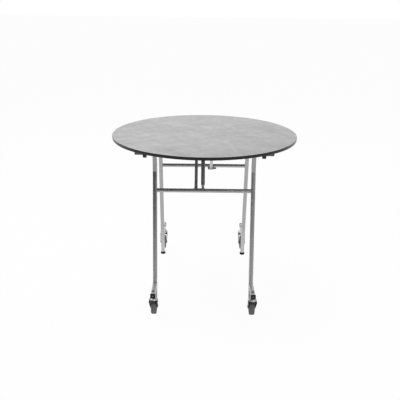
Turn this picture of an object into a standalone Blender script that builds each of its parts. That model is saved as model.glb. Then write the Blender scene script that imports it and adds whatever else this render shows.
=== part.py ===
"""Round folding table: two half-round leaves on two castored leg frames, hinged along the middle.

Metres, +Z up, origin on the floor under the middle of the top. +X runs along the hinge line and
+Y points from the front leaf to the rear leaf. Each half is modelled once, as the front half, and
the rear half is the same set of pieces turned half a turn about Z.
"""

import math

import bmesh
import bpy
from mathutils import Matrix, Vector

# Table top
TOP_DIAMETER = 0.850
TOP_HEIGHT = 0.748
BOARD_THICKNESS = 0.013
RIM_CHAMFER = 0.0012
SEAM_GAP = 0.0006

# Clearances
SEAT_GAP = 0.0003
RUNNING_GAP = 0.0003
SIDE_GAP = 0.0005

# Pivot tube across the top of each leg frame
PIVOT_SPREAD = 0.371
PIVOT_DROP = 0.031
TUBE_DIAMETER = 0.025
TUBE_WALL = 0.0015
TUBE_LENGTH = 0.606
PLUG_HEAD = 0.0025
PLUG_STEM = 0.012

# Bearing blocks that hold the pivot tube under the leaf
BLOCK_SPREAD = 0.523
BLOCK_WIDTH = 0.015
BLOCK_RADIUS = 0.0245
BLOCK_FLANGE_LENGTH = 0.072
BLOCK_FLANGE = 0.008

# Legs of square tube, upright above the bend and splayed below it
LEG_SPREAD = 0.436
LEG_SIDE = 0.019
LEG_WALL = 0.0015
LEG_CORNER = 0.0025
LEG_BEND_HEIGHT = 0.619
LEG_BEND_RADIUS = 0.060
FOOT_SPREAD = 0.595

# Rubber feet
FOOT_DIAMETER = 0.026
FOOT_EDGE = 0.0015
FOOT_HEIGHT = 0.012
FOOT_SPIGOT = 0.014

# Crossbar between the two legs of a frame
CROSSBAR_HEIGHT = 0.534
CROSSBAR_DIAMETER = 0.018
CROSSBAR_WALL = 0.0012

# Outriggers that carry the castors
OUTRIGGER_HEIGHT = 0.110
OUTRIGGER_LENGTH = 0.139
OUTRIGGER_RISE = math.radians(5.0)
CAP_SIDE = 0.022
CAP_THICKNESS = 0.004
CAP_CHAMFER = 0.0012
CAP_STEM = 0.010

# Castors, which hang just off the floor and trail inwards, where their tilted stems let them drop
CASTOR_INSET = 0.030
CASTOR_TRAIL = 0.034
CASTOR_FLOOR_GAP = 0.006
WHEEL_DIAMETER = 0.075
WHEEL_WIDTH = 0.024
WHEEL_EDGE = 0.004
WHEEL_RIM = 0.010
WHEEL_RECESS = 0.004
HUB_DIAMETER = 0.024
AXLE_DIAMETER = 0.008
AXLE_HEAD_DIAMETER = 0.013
AXLE_HEAD = 0.0025
FORK_SHEET = 0.003
FORK_SIDE_GAP = 0.0018
FORK_PLATE_RADIUS = 0.018
FORK_END_RADIUS = 0.010
STEM_DIAMETER = 0.010
STEM_LENGTH = 0.014
COLLAR_DIAMETER = 0.020
COLLAR_HEIGHT = 0.010
HEAD_DIAMETER = 0.040
HEAD_HEIGHT = 0.012
HEAD_SHOULDER = 0.005
KINGPIN_DIAMETER = 0.010
KINGPIN_HEAD_DIAMETER = 0.016
KINGPIN_HEAD = 0.0025

# Centre hinge, set below the boards so that the folded leaves clear the frames between them
HINGE_DROP = 0.0565
HINGE_SPREAD = 0.480
HINGE_PLATE_WIDTH = 0.040
HINGE_PLATE_LENGTH = 0.044
HINGE_PLATE_INSET = 0.006
HINGE_EAR = 0.006
HINGE_EAR_FOOT = 0.030

# Sheet metal and pins shared by the hinge, anchors and lugs
PLATE = 0.003
EAR = 0.003
BOSS_RADIUS = 0.009
EYE_RADIUS = 0.008
PIN_DIAMETER = 0.008
PIN_HEAD_DIAMETER = 0.013
PIN_HEAD = 0.0035

# Links from each crossbar to the far leaf
LINK_OFFSET = 0.036
LINK_WIDTH = 0.014
LINK_THICKNESS = 0.006
LINK_ANCHOR_RISE = 0.0
LUG_REACH = 0.022
LUG_DROP = 0.0075
LUG_WALL = 0.0037
ANCHOR_EAR_FOOT = 0.032
ANCHOR_MARGIN = 0.004

# Gas spring that helps to lift the middle of the top
GAS_OFFSET = -0.005
GAS_ANCHOR_REACH = 0.020
GAS_ANCHOR_RISE = 0.014
GAS_BODY_DIAMETER = 0.018
GAS_ROD_DIAMETER = 0.008
GAS_ROD_INSIDE = 0.150
GAS_BORE_SPARE = 0.010
GAS_EYE_WIDTH = 0.010
GAS_EYE_NECK = 0.016
GAS_FITTING_DIAMETER = 0.013
GAS_FITTING_LENGTH = 0.012
GAS_ROD_SHOWING = 0.004

# Fineness of round shapes
RIM_STEPS = 64
ROUND_STEPS = 32
SMALL_STEPS = 20
PIN_STEPS = 14
CORNER_STEPS = 2
BEND_STEPS = 4
WELD_DISTANCE = 0.00001
SMOOTH_ANGLE = math.radians(35.0)

# Places worked out from the sizes, in the (Y, Z) plane of the front half
UNDERSIDE = TOP_HEIGHT - BOARD_THICKNESS
SEAT_LEVEL = UNDERSIDE - SEAT_GAP
PIVOT = Vector((-PIVOT_SPREAD / 2, UNDERSIDE - PIVOT_DROP))
HINGE = Vector((0.0, UNDERSIDE - HINGE_DROP))
SPLAY = math.atan2((FOOT_SPREAD - PIVOT_SPREAD) / 2, LEG_BEND_HEIGHT)
LEG_ALONG = Vector((-math.sin(SPLAY), -math.cos(SPLAY)))
LEG_ACROSS = Vector((math.cos(SPLAY), -math.sin(SPLAY)))


def leg_centre(height):
    """The splayed leg's centre line at this height."""
    return Vector((PIVOT.x - (LEG_BEND_HEIGHT - height) * math.tan(SPLAY), height))


CROSSBAR = leg_centre(CROSSBAR_HEIGHT)
LUG_PIVOT = CROSSBAR + Vector((LUG_REACH, -LUG_DROP))
OUTRIGGER_ROOT = leg_centre(OUTRIGGER_HEIGHT)
OUTWARD = Vector((-math.cos(OUTRIGGER_RISE), math.sin(OUTRIGGER_RISE)))
UPWARD = Vector((math.sin(OUTRIGGER_RISE), math.cos(OUTRIGGER_RISE)))
OUTRIGGER_END = OUTRIGGER_ROOT + OUTWARD * OUTRIGGER_LENGTH
CASTOR_SEAT = OUTRIGGER_END - OUTWARD * CASTOR_INSET - UPWARD * LEG_SIDE / 2
WHEEL_RADIUS = WHEEL_DIAMETER / 2
CASTOR_DROP = (
    CASTOR_SEAT.y - CASTOR_TRAIL * OUTWARD.y - CASTOR_FLOOR_GAP - WHEEL_RADIUS
) / UPWARD.y
WHEEL_CENTRE = CASTOR_SEAT - OUTWARD * CASTOR_TRAIL - UPWARD * CASTOR_DROP
FORK_TOP = COLLAR_HEIGHT + HEAD_HEIGHT + SEAT_GAP
FORK_INNER = WHEEL_WIDTH / 2 + FORK_SIDE_GAP
FORK_OUTER = FORK_INNER + FORK_SHEET


def link_anchor_pivot():
    """The far leaf's pivot that keeps the link's length equal in the open and the folded table."""
    arm = PIVOT - HINGE
    start = LUG_PIVOT - HINGE
    folded = Vector((-arm.y, arm.x)) + LUG_PIVOT - PIVOT
    spare = (start.length_squared - folded.length_squared) / 2
    reach = (spare - LINK_ANCHOR_RISE * (start.y - folded.x)) / (start.x + folded.y)
    return HINGE + Vector((reach, LINK_ANCHOR_RISE))


LINK_PIVOT = link_anchor_pivot()
GAS_PIVOT = HINGE + Vector((GAS_ANCHOR_REACH, GAS_ANCHOR_RISE))


# Materials


def finish(name, colour, metallic, roughness):
    material = bpy.data.materials.new(name)
    material.use_nodes = True
    shader = material.node_tree.nodes["Principled BSDF"]
    shader.inputs["Base Color"].default_value = (*colour, 1.0)
    shader.inputs["Metallic"].default_value = metallic
    shader.inputs["Roughness"].default_value = roughness
    return material


# Outlines and basic shapes


def arc(centre, radius, start, end, steps):
    """Points of a circular arc in a plane, ends included."""
    points = []
    for step in range(steps + 1):
        angle = start + (end - start) * step / steps
        points.append((centre[0] + radius * math.cos(angle), centre[1] + radius * math.sin(angle)))
    return points


def circle(centre, radius, steps=ROUND_STEPS):
    return arc(centre, radius, 0.0, math.tau * (steps - 1) / steps, steps - 1)


def hull(points):
    """The convex outline round the points, anticlockwise."""
    ordered = sorted(tuple(point) for point in points)

    def half(sequence):
        chain = []
        for point in sequence:
            while len(chain) > 1:
                first = Vector(chain[-1]) - Vector(chain[-2])
                second = Vector(point) - Vector(chain[-1])
                if first.cross(second) > 0:
                    break
                chain.pop()
            chain.append(point)
        return chain[:-1]

    return half(ordered) + half(reversed(ordered))


def square_section(side, corner):
    """A rounded square about the origin, anticlockwise."""
    points = []
    for quarter, (right, up) in enumerate(((1, 1), (-1, 1), (-1, -1), (1, -1))):
        centre = (right * (side / 2 - corner), up * (side / 2 - corner))
        start = quarter * math.pi / 2
        points += arc(centre, corner, start, start + math.pi / 2, CORNER_STEPS)
    return points


def prism(outline, low, high):
    """A (Y, Z) outline extruded along X."""
    solid = bmesh.new()
    base = solid.faces.new([solid.verts.new((low, y, z)) for y, z in outline])
    grown = bmesh.ops.extrude_face_region(solid, geom=[base], use_keep_orig=True)
    moved = [item for item in grown["geom"] if isinstance(item, bmesh.types.BMVert)]
    bmesh.ops.translate(solid, verts=moved, vec=(high - low, 0, 0))
    return solid


def box(low, high):
    outline = [(low[1], low[2]), (high[1], low[2]), (high[1], high[2]), (low[1], high[2])]
    return prism(outline, low[0], high[0])


def turned(profile, steps, along=Vector((1, 0, 0)), centre=(0, 0, 0)):
    """A closed (along, radius) profile spun about an axis through the centre."""
    solid = bmesh.new()
    across = Vector((0, 0, 1)) if abs(along.z) < 0.5 else Vector((1, 0, 0))
    start = Vector(centre)
    verts = [solid.verts.new(start + along * place + across * radius) for place, radius in profile]
    edges = []
    for index, vert in enumerate(verts):
        radii = (profile[index - 1][1], profile[index][1])
        if max(radii) > 0:
            edges.append(solid.edges.new((verts[index - 1], vert)))
    bmesh.ops.spin(
        solid, geom=verts + edges, cent=start, axis=along, angle=math.tau, steps=steps, use_merge=True
    )
    return solid


def rod(low, high, diameter, centre, steps=PIN_STEPS):
    """A plain round bar along X at a (Y, Z) centre."""
    radius = diameter / 2
    profile = [(low, 0), (low, radius), (high, radius), (high, 0)]
    return turned(profile, steps, centre=(0, *centre))


def pipe(length, diameter, wall, centre):
    """A round tube along X, open at both ends."""
    outer = diameter / 2
    inner = outer - wall
    half = length / 2
    profile = [(-half, inner), (-half, outer), (half, outer), (half, inner)]
    return turned(profile, ROUND_STEPS, centre=(0, *centre))


def ring(solid, section, x, centre, across):
    """One cross-section loop: the section's first axis lies along X, its second along across."""
    return [solid.verts.new((x + u, centre.x + across.x * v, centre.y + across.y * v)) for u, v in section]


def skin(solid, rings):
    """Faces between neighbouring loops."""
    for low, high in zip(rings, rings[1:]):
        for index in range(len(low)):
            solid.faces.new((low[index - 1], low[index], high[index], high[index - 1]))


def square_tube(x, stations, side, wall, corner):
    """A hollow square tube through stations of (centre, across)."""
    solid = bmesh.new()
    outer = square_section(side, corner)
    inner = square_section(side - 2 * wall, corner - wall)
    outside = [ring(solid, outer, x, centre, across) for centre, across in stations]
    inside = [ring(solid, inner, x, centre, across) for centre, across in stations]
    skin(solid, outside + inside[::-1] + outside[:1])
    return solid


def square_plug(x, stations):
    """A solid square piece through stations of (centre, across, side, corner)."""
    solid = bmesh.new()
    rings = []
    for centre, across, side, corner in stations:
        rings.append(ring(solid, square_section(side, corner), x, centre, across))
    skin(solid, rings)
    solid.faces.new(rings[0])
    solid.faces.new(rings[-1])
    return solid


# Objects


def clean(solid):
    bmesh.ops.remove_doubles(solid, verts=solid.verts, dist=WELD_DISTANCE)
    bmesh.ops.recalc_face_normals(solid, faces=solid.faces)


def add_object(name, solid):
    clean(solid)
    mesh = bpy.data.meshes.new(name)
    solid.to_mesh(mesh)
    solid.free()
    made = bpy.data.objects.new(name, mesh)
    bpy.context.scene.collection.objects.link(made)
    return made


def add_piece(name, solid, material, side, origin=(0, 0, 0), tilt=0.0, local=False):
    """A sub-part whose origin lies on its joint's axis; a shape that isn't local is moved to it."""
    if not local:
        bmesh.ops.translate(solid, verts=solid.verts, vec=-Vector(origin))
    made = add_object(name, solid)
    made.data.materials.append(material)
    made.data.shade_smooth()
    made.data.set_sharp_from_angle(angle=SMOOTH_ANGLE)
    made.parent = side
    made.location = origin
    made.rotation_euler = (tilt, 0, 0)
    return made


def shape_with(piece, operation, solids, origin=(0, 0, 0)):
    """Joins solids to a piece or cuts them from it; they are given where the piece was drawn."""
    for solid in solids:
        bmesh.ops.translate(solid, verts=solid.verts, vec=-Vector(origin))
        tool = add_object(f"{piece.name}_{operation.lower()}_{len(piece.modifiers)}", solid)
        tool.parent = piece
        tool.hide_render = True
        tool.display_type = "WIRE"
        step = piece.modifiers.new(tool.name, "BOOLEAN")
        step.operation = operation
        step.solver = "EXACT"
        step.object = tool


def at(x, place):
    return (x, place.x, place.y)


def hand(x):
    return "left" if x < 0 else "right"


def world_hand(side, x):
    """Left or right as seen from the front, for an x given in the half's own frame."""
    return hand(-x if side.name == "rear_half" else x)


# The top


def add_leaf(name, side, material):
    radius = TOP_DIAMETER / 2
    inset = SEAM_GAP / 2
    lean = math.asin(inset / radius)
    outline = arc((0, 0), radius, math.pi + lean, math.tau - lean, RIM_STEPS)
    solid = bmesh.new()
    base = solid.faces.new([solid.verts.new((x, y, UNDERSIDE)) for x, y in outline])
    grown = bmesh.ops.extrude_face_region(solid, geom=[base], use_keep_orig=True)
    moved = [item for item in grown["geom"] if isinstance(item, bmesh.types.BMVert)]
    bmesh.ops.translate(solid, verts=moved, vec=(0, 0, BOARD_THICKNESS))
    rim = []
    for edge in solid.edges:
        middle = (edge.verts[0].co + edge.verts[1].co) / 2
        level = abs(edge.verts[0].co.z - edge.verts[1].co.z) < WELD_DISTANCE
        if level and math.hypot(middle.x, middle.y) > radius * 0.99:
            rim.append(edge)
    bmesh.ops.bevel(solid, geom=rim, offset=RIM_CHAMFER, segments=1, profile=0.5, affect="EDGES")
    add_piece(name, solid, material, side, at(0, PIVOT))


def add_block(name, side, x, material):
    half = BLOCK_FLANGE_LENGTH / 2
    flange_level = SEAT_LEVEL - BLOCK_FLANGE
    outline = [
        (PIVOT.x - half, flange_level),
        (PIVOT.x - half, SEAT_LEVEL),
        (PIVOT.x + half, SEAT_LEVEL),
        (PIVOT.x + half, flange_level),
        (PIVOT.x + BLOCK_RADIUS, flange_level),
    ]
    outline += arc(PIVOT, BLOCK_RADIUS, 0.0, -math.pi, ROUND_STEPS // 2)
    outline.append((PIVOT.x - BLOCK_RADIUS, flange_level))
    low = x - BLOCK_WIDTH / 2
    high = x + BLOCK_WIDTH / 2
    block = add_piece(name, prism(outline, low, high), material, side, at(0, PIVOT))
    bore = TUBE_DIAMETER + 2 * RUNNING_GAP
    cutter = rod(low - BLOCK_WIDTH, high + BLOCK_WIDTH, bore, PIVOT, ROUND_STEPS)
    shape_with(block, "DIFFERENCE", [cutter], at(0, PIVOT))


# The leg frames


def add_plug(name, side, x, material):
    facing = 1 if x > 0 else -1
    end = TUBE_LENGTH / 2
    bore = TUBE_DIAMETER / 2 - TUBE_WALL - SEAT_GAP
    rim = TUBE_DIAMETER / 2
    profile = [
        (end - PLUG_STEM, 0),
        (end - PLUG_STEM, bore),
        (end + SEAT_GAP, bore),
        (end + SEAT_GAP, rim),
        (end + PLUG_HEAD, rim - PLUG_HEAD / 3),
        (end + PLUG_HEAD, 0),
    ]
    solid = turned(profile, SMALL_STEPS, Vector((facing, 0, 0)), at(0, PIVOT))
    add_piece(name, solid, material, side, at(0, PIVOT))


def add_leg(name, side, x, material):
    """Square tube notched over the pivot tube, upright to the bend, then splayed to the foot."""
    upright = Vector((1, 0))
    start = LEG_BEND_HEIGHT + LEG_BEND_RADIUS * math.tan(SPLAY / 2)
    stations = [(PIVOT.copy(), upright)]
    for step in range(BEND_STEPS + 1):
        turn = SPLAY * step / BEND_STEPS
        sideways = LEG_BEND_RADIUS * (math.cos(turn) - 1)
        centre = Vector((PIVOT.x + sideways, start - LEG_BEND_RADIUS * math.sin(turn)))
        stations.append((centre, Vector((math.cos(turn), -math.sin(turn)))))
    stations.append((leg_centre(FOOT_HEIGHT + SEAT_GAP), upright / math.cos(SPLAY)))
    solid = square_tube(x, stations, LEG_SIDE, LEG_WALL, LEG_CORNER)
    leg = add_piece(name, solid, material, side, at(0, PIVOT))
    notch = TUBE_DIAMETER + 2 * SEAT_GAP
    cutter = rod(x - LEG_SIDE, x + LEG_SIDE, notch, PIVOT, ROUND_STEPS)
    shape_with(leg, "DIFFERENCE", [cutter], at(0, PIVOT))


def add_foot(name, side, x, material):
    """Round glide under the leg, with a square spigot up its bore."""
    rim = FOOT_DIAMETER / 2
    profile = [
        (0, 0),
        (0, rim - FOOT_EDGE),
        (FOOT_EDGE, rim),
        (FOOT_HEIGHT - FOOT_EDGE, rim),
        (FOOT_HEIGHT, rim - FOOT_EDGE),
        (FOOT_HEIGHT, 0),
    ]
    base = Vector((leg_centre(FOOT_HEIGHT).x, 0))
    solid = turned(profile, SMALL_STEPS, Vector((0, 0, 1)), at(x, base))
    foot = add_piece(name, solid, material, side, at(0, PIVOT))
    level = Vector((1 / math.cos(SPLAY), 0))
    bore = LEG_SIDE - 2 * LEG_WALL - 2 * SEAT_GAP
    corner = LEG_CORNER - LEG_WALL
    stations = [
        (leg_centre(FOOT_HEIGHT / 2), level, bore, corner),
        (leg_centre(FOOT_HEIGHT + FOOT_SPIGOT), level, bore, corner),
    ]
    shape_with(foot, "UNION", [square_plug(x, stations)], at(0, PIVOT))


def add_crossbar(name, side, material):
    length = LEG_SPREAD - LEG_SIDE - 2 * SEAT_GAP
    solid = pipe(length, CROSSBAR_DIAMETER, CROSSBAR_WALL, CROSSBAR)
    add_piece(name, solid, material, side, at(0, PIVOT))


def add_outrigger(name, side, x, material):
    """Square tube cut to lie against the leg, with a hole for the castor's stem."""
    skew = math.cos(SPLAY - OUTRIGGER_RISE)
    root = OUTRIGGER_ROOT + OUTWARD * (LEG_SIDE / 2 + SEAT_GAP) / skew
    stations = [(root, -LEG_ALONG / skew), (OUTRIGGER_END, UPWARD)]
    solid = square_tube(x, stations, LEG_SIDE, LEG_WALL, LEG_CORNER)
    outrigger = add_piece(name, solid, material, side, at(x, CASTOR_SEAT), -OUTRIGGER_RISE, True)
    outrigger.data.transform(castor_frame(x).inverted())
    radius = STEM_DIAMETER / 2 + RUNNING_GAP
    depth = LEG_SIDE / 2
    hole = [(-depth, 0), (-depth, radius), (depth, radius), (depth, 0)]
    shape_with(outrigger, "DIFFERENCE", [turned(hole, SMALL_STEPS, Vector((0, 0, 1)))])


def add_cap(name, side, x, material):
    stem = LEG_SIDE - 2 * LEG_WALL - 2 * SEAT_GAP
    corner = LEG_CORNER - LEG_WALL
    face = OUTRIGGER_END + OUTWARD * SEAT_GAP
    stations = [
        (OUTRIGGER_END - OUTWARD * CAP_STEM, UPWARD, stem, corner),
        (face, UPWARD, stem, corner),
        (face, UPWARD, CAP_SIDE, LEG_CORNER),
        (OUTRIGGER_END + OUTWARD * (CAP_THICKNESS - CAP_CHAMFER), UPWARD, CAP_SIDE, LEG_CORNER),
        (OUTRIGGER_END + OUTWARD * CAP_THICKNESS, UPWARD, CAP_SIDE - 2 * CAP_CHAMFER, LEG_CORNER),
    ]
    add_piece(name, square_plug(x, stations), material, side, at(0, PIVOT))


# The castors, drawn in a frame that hangs from the outrigger's underside with -Y outward


def castor_frame(x):
    return Matrix.Translation(at(x, CASTOR_SEAT)) @ Matrix.Rotation(-OUTRIGGER_RISE, 4, "X")


def add_castor_stem(name, side, x, material):
    pin_end = FORK_TOP + FORK_SHEET + SEAT_GAP
    head = HEAD_DIAMETER / 2
    profile = [
        (STEM_LENGTH, 0),
        (STEM_LENGTH, STEM_DIAMETER / 2),
        (-SEAT_GAP, STEM_DIAMETER / 2),
        (-SEAT_GAP, COLLAR_DIAMETER / 2),
        (-COLLAR_HEIGHT, COLLAR_DIAMETER / 2),
        (-COLLAR_HEIGHT - HEAD_SHOULDER, head),
        (-COLLAR_HEIGHT - HEAD_HEIGHT, head),
        (-COLLAR_HEIGHT - HEAD_HEIGHT, KINGPIN_DIAMETER / 2),
        (-pin_end, KINGPIN_DIAMETER / 2),
        (-pin_end, KINGPIN_HEAD_DIAMETER / 2),
        (-pin_end - KINGPIN_HEAD, KINGPIN_HEAD_DIAMETER / 2),
        (-pin_end - KINGPIN_HEAD, 0),
    ]
    solid = turned(profile, SMALL_STEPS, Vector((0, 0, 1)))
    add_piece(name, solid, material, side, at(x, CASTOR_SEAT), -OUTRIGGER_RISE, True)


def add_castor_fork(name, side, x, material):
    """Pressed sheet fork: a channel trimmed to a tapering side outline, with its two holes."""
    axle = (CASTOR_TRAIL, -CASTOR_DROP)
    roof = -FORK_TOP - FORK_SHEET
    channel = bmesh.new()
    section = [
        (-FORK_OUTER, axle[1] - FORK_END_RADIUS),
        (-FORK_OUTER, -FORK_TOP),
        (FORK_OUTER, -FORK_TOP),
        (FORK_OUTER, axle[1] - FORK_END_RADIUS),
        (FORK_INNER, axle[1] - FORK_END_RADIUS),
        (FORK_INNER, roof),
        (-FORK_INNER, roof),
        (-FORK_INNER, axle[1] - FORK_END_RADIUS),
    ]
    depth = CASTOR_TRAIL + FORK_END_RADIUS + FORK_PLATE_RADIUS
    base = channel.faces.new([channel.verts.new((u, -depth, w)) for u, w in section])
    grown = bmesh.ops.extrude_face_region(channel, geom=[base], use_keep_orig=True)
    moved = [item for item in grown["geom"] if isinstance(item, bmesh.types.BMVert)]
    bmesh.ops.translate(channel, verts=moved, vec=(0, 2 * depth, 0))
    fork = add_piece(name, channel, material, side, at(x, CASTOR_SEAT), -OUTRIGGER_RISE, True)
    shoulder = roof - FORK_SHEET
    outline = circle(axle, FORK_END_RADIUS, SMALL_STEPS)
    outline += [(-FORK_PLATE_RADIUS, -FORK_TOP), (FORK_PLATE_RADIUS, -FORK_TOP)]
    outline += [(-FORK_PLATE_RADIUS, shoulder), (FORK_PLATE_RADIUS, shoulder)]
    shape_with(fork, "INTERSECT", [prism(hull(outline), -2 * FORK_OUTER, 2 * FORK_OUTER)])
    pin = KINGPIN_DIAMETER / 2 + RUNNING_GAP
    hole = [(roof - FORK_SHEET, 0), (roof - FORK_SHEET, pin), (0, pin), (0, 0)]
    axle_hole = rod(-2 * FORK_OUTER, 2 * FORK_OUTER, AXLE_DIAMETER + 2 * RUNNING_GAP, axle)
    shape_with(fork, "DIFFERENCE", [turned(hole, SMALL_STEPS, Vector((0, 0, 1))), axle_hole])


def mirrored(profile):
    """A half profile for positive x, completed by its mirror image."""
    return [(-place, radius) for place, radius in reversed(profile)] + profile


def add_wheel(name, side, x, material):
    bore = AXLE_DIAMETER / 2 + RUNNING_GAP
    face = FORK_INNER - SIDE_GAP
    recess = WHEEL_WIDTH / 2 - WHEEL_RECESS
    half = [
        (WHEEL_WIDTH / 2 - WHEEL_EDGE, WHEEL_RADIUS),
        (WHEEL_WIDTH / 2, WHEEL_RADIUS - WHEEL_EDGE),
        (WHEEL_WIDTH / 2, WHEEL_RADIUS - WHEEL_RIM),
        (recess, WHEEL_RADIUS - WHEEL_RIM - WHEEL_RECESS),
        (recess, HUB_DIAMETER / 2),
        (face, HUB_DIAMETER / 2),
        (face, bore),
    ]
    solid = turned(mirrored(half), ROUND_STEPS)
    add_piece(name, solid, material, side, at(x, WHEEL_CENTRE), -OUTRIGGER_RISE, True)


def add_axle(name, side, x, material):
    shoulder = FORK_OUTER + SEAT_GAP
    half = [
        (shoulder, AXLE_DIAMETER / 2),
        (shoulder, AXLE_HEAD_DIAMETER / 2),
        (shoulder + AXLE_HEAD, AXLE_HEAD_DIAMETER / 2),
        (shoulder + AXLE_HEAD, 0),
    ]
    solid = turned(mirrored(half), PIN_STEPS)
    add_piece(name, solid, material, side, at(x, WHEEL_CENTRE), -OUTRIGGER_RISE, True)


# The centre hinge


def add_hinge_bracket(name, side, x, material):
    """A plate under the leaf with one ear down to the hinge pin, beside the other leaf's ear."""
    plate_level = SEAT_LEVEL - PLATE
    low = (x - HINGE_PLATE_WIDTH / 2, -HINGE_PLATE_INSET - HINGE_PLATE_LENGTH, plate_level)
    high = (x + HINGE_PLATE_WIDTH / 2, -HINGE_PLATE_INSET, SEAT_LEVEL)
    bracket = add_piece(name, box(low, high), material, side, at(0, HINGE))
    foot = plate_level + PLATE / 2
    outline = circle(HINGE, BOSS_RADIUS, SMALL_STEPS)
    outline += [(high[1], foot), (high[1] - HINGE_EAR_FOOT, foot)]
    ear_high = x - SIDE_GAP / 2
    ear = prism(hull(outline), ear_high - HINGE_EAR, ear_high)
    shape_with(bracket, "UNION", [ear], at(0, HINGE))
    hole = PIN_DIAMETER + 2 * RUNNING_GAP
    cutter = rod(ear_high - 2 * HINGE_EAR, ear_high + HINGE_EAR, hole, HINGE, SMALL_STEPS)
    shape_with(bracket, "DIFFERENCE", [cutter], at(0, HINGE))


def add_hinge_pin(name, side, x, material):
    shoulder = HINGE_EAR + SIDE_GAP / 2 + SEAT_GAP
    half = [
        (shoulder, PIN_DIAMETER / 2),
        (shoulder, PIN_HEAD_DIAMETER / 2),
        (shoulder + PIN_HEAD, PIN_HEAD_DIAMETER / 2),
        (shoulder + PIN_HEAD, 0),
    ]
    solid = turned(mirrored(half), SMALL_STEPS)
    add_piece(name, solid, material, side, at(x, HINGE), local=True)


# The links and the gas spring


def ears(x, width, outline):
    """Two plates with room between them for an eye of this width."""
    inner = width / 2 + SIDE_GAP
    outer = inner + EAR
    return [prism(outline, x - outer, x - inner), prism(outline, x + inner, x + outer)]


def knobs(x, width, centre):
    """A bolt's head and nut on the outer faces of two ears."""
    inner = width / 2 + SIDE_GAP + EAR / 2
    outer = width / 2 + SIDE_GAP + EAR + PIN_HEAD
    left = rod(x - outer, x - inner, PIN_HEAD_DIAMETER, centre)
    right = rod(x + inner, x + outer, PIN_HEAD_DIAMETER, centre)
    return [left, right]


def add_lug(name, side, eyes, material):
    """A saddle welded behind the crossbar, with open ears for the eyes of (x, width)."""
    reach = CROSSBAR_DIAMETER / 2 + LUG_WALL
    low = min(x - width / 2 for x, width in eyes) - SIDE_GAP - EAR
    high = max(x + width / 2 for x, width in eyes) + SIDE_GAP + EAR
    quarter = arc(CROSSBAR, reach, -math.pi / 2, 0.0, SMALL_STEPS // 2)
    saddle = prism([tuple(CROSSBAR)] + quarter, low, high)
    lug = add_piece(name, saddle, material, side, at(0, PIVOT))
    half_round = arc(CROSSBAR, reach, -math.pi / 2, math.pi / 2, SMALL_STEPS)
    outline = hull(half_round + circle(LUG_PIVOT, BOSS_RADIUS, SMALL_STEPS))
    joined = []
    for x, width in eyes:
        joined += ears(x, width, outline) + knobs(x, width, LUG_PIVOT)
    shape_with(lug, "UNION", joined, at(0, PIVOT))
    seat = rod(low - EAR, high + EAR, CROSSBAR_DIAMETER + 2 * SEAT_GAP, CROSSBAR, ROUND_STEPS)
    shape_with(lug, "DIFFERENCE", [seat], at(0, PIVOT))


def add_anchor(name, side, eyes, material):
    """A plate under the far leaf with ears and a pin for each eye of (x, width, pivot)."""
    half_foot = ANCHOR_EAR_FOOT / 2
    edge = SIDE_GAP + EAR + ANCHOR_MARGIN
    plate_level = SEAT_LEVEL - PLATE
    nearest = min(pivot.x for x, width, pivot in eyes) - half_foot
    low = (
        min(x - width / 2 for x, width, pivot in eyes) - edge,
        max(nearest, HINGE_PLATE_INSET),
        plate_level,
    )
    high = (
        max(x + width / 2 for x, width, pivot in eyes) + edge,
        max(pivot.x for x, width, pivot in eyes) + half_foot + ANCHOR_MARGIN,
        SEAT_LEVEL,
    )
    anchor = add_piece(name, box(low, high), material, side, at(0, HINGE))
    foot = plate_level + PLATE / 2
    joined = []
    for x, width, pivot in eyes:
        outline = circle(pivot, BOSS_RADIUS, SMALL_STEPS)
        outline += [(max(pivot.x - half_foot, low[1]), foot), (pivot.x + half_foot, foot)]
        span = width / 2 + SIDE_GAP + EAR / 2
        joined += ears(x, width, hull(outline)) + knobs(x, width, pivot)
        joined.append(rod(x - span, x + span, PIN_DIAMETER, pivot, SMALL_STEPS))
    shape_with(anchor, "UNION", joined, at(0, HINGE))


def lean(start, end):
    """The turn about X that points a piece's -Z from start to end."""
    way = end - start
    return math.atan2(way.x, -way.y)


def add_link(name, side, material):
    """A flat bar with an eye at each end, drawn hanging down from its leaf pivot."""
    length = (LUG_PIVOT - LINK_PIVOT).length
    half = LINK_THICKNESS / 2
    turn = math.asin(half / EYE_RADIUS)
    upper = arc((0, 0), EYE_RADIUS, turn - math.pi / 2, 3 * math.pi / 2 - turn, SMALL_STEPS)
    lower = arc((0, -length), EYE_RADIUS, turn + math.pi / 2, 5 * math.pi / 2 - turn, SMALL_STEPS)
    solid = prism(upper + lower, -LINK_WIDTH / 2, LINK_WIDTH / 2)
    origin = at(-LINK_OFFSET, LINK_PIVOT)
    link = add_piece(name, solid, material, side, origin, lean(LINK_PIVOT, LUG_PIVOT), True)
    hole = PIN_DIAMETER + 2 * RUNNING_GAP
    cutters = [rod(-LINK_WIDTH, LINK_WIDTH, hole, (0, drop), SMALL_STEPS) for drop in (0, -length)]
    shape_with(link, "DIFFERENCE", cutters)


def gas_eye(centre, neck):
    """A flat eye that widens into its neck, and the hole through it."""
    outline = circle((0, centre), EYE_RADIUS, SMALL_STEPS)
    outline += [(-GAS_FITTING_DIAMETER / 2, neck), (GAS_FITTING_DIAMETER / 2, neck)]
    eye = prism(hull(outline), -GAS_EYE_WIDTH / 2, GAS_EYE_WIDTH / 2)
    hole = PIN_DIAMETER + 2 * RUNNING_GAP
    return eye, rod(-GAS_EYE_WIDTH, GAS_EYE_WIDTH, hole, (0, centre), SMALL_STEPS)


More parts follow.
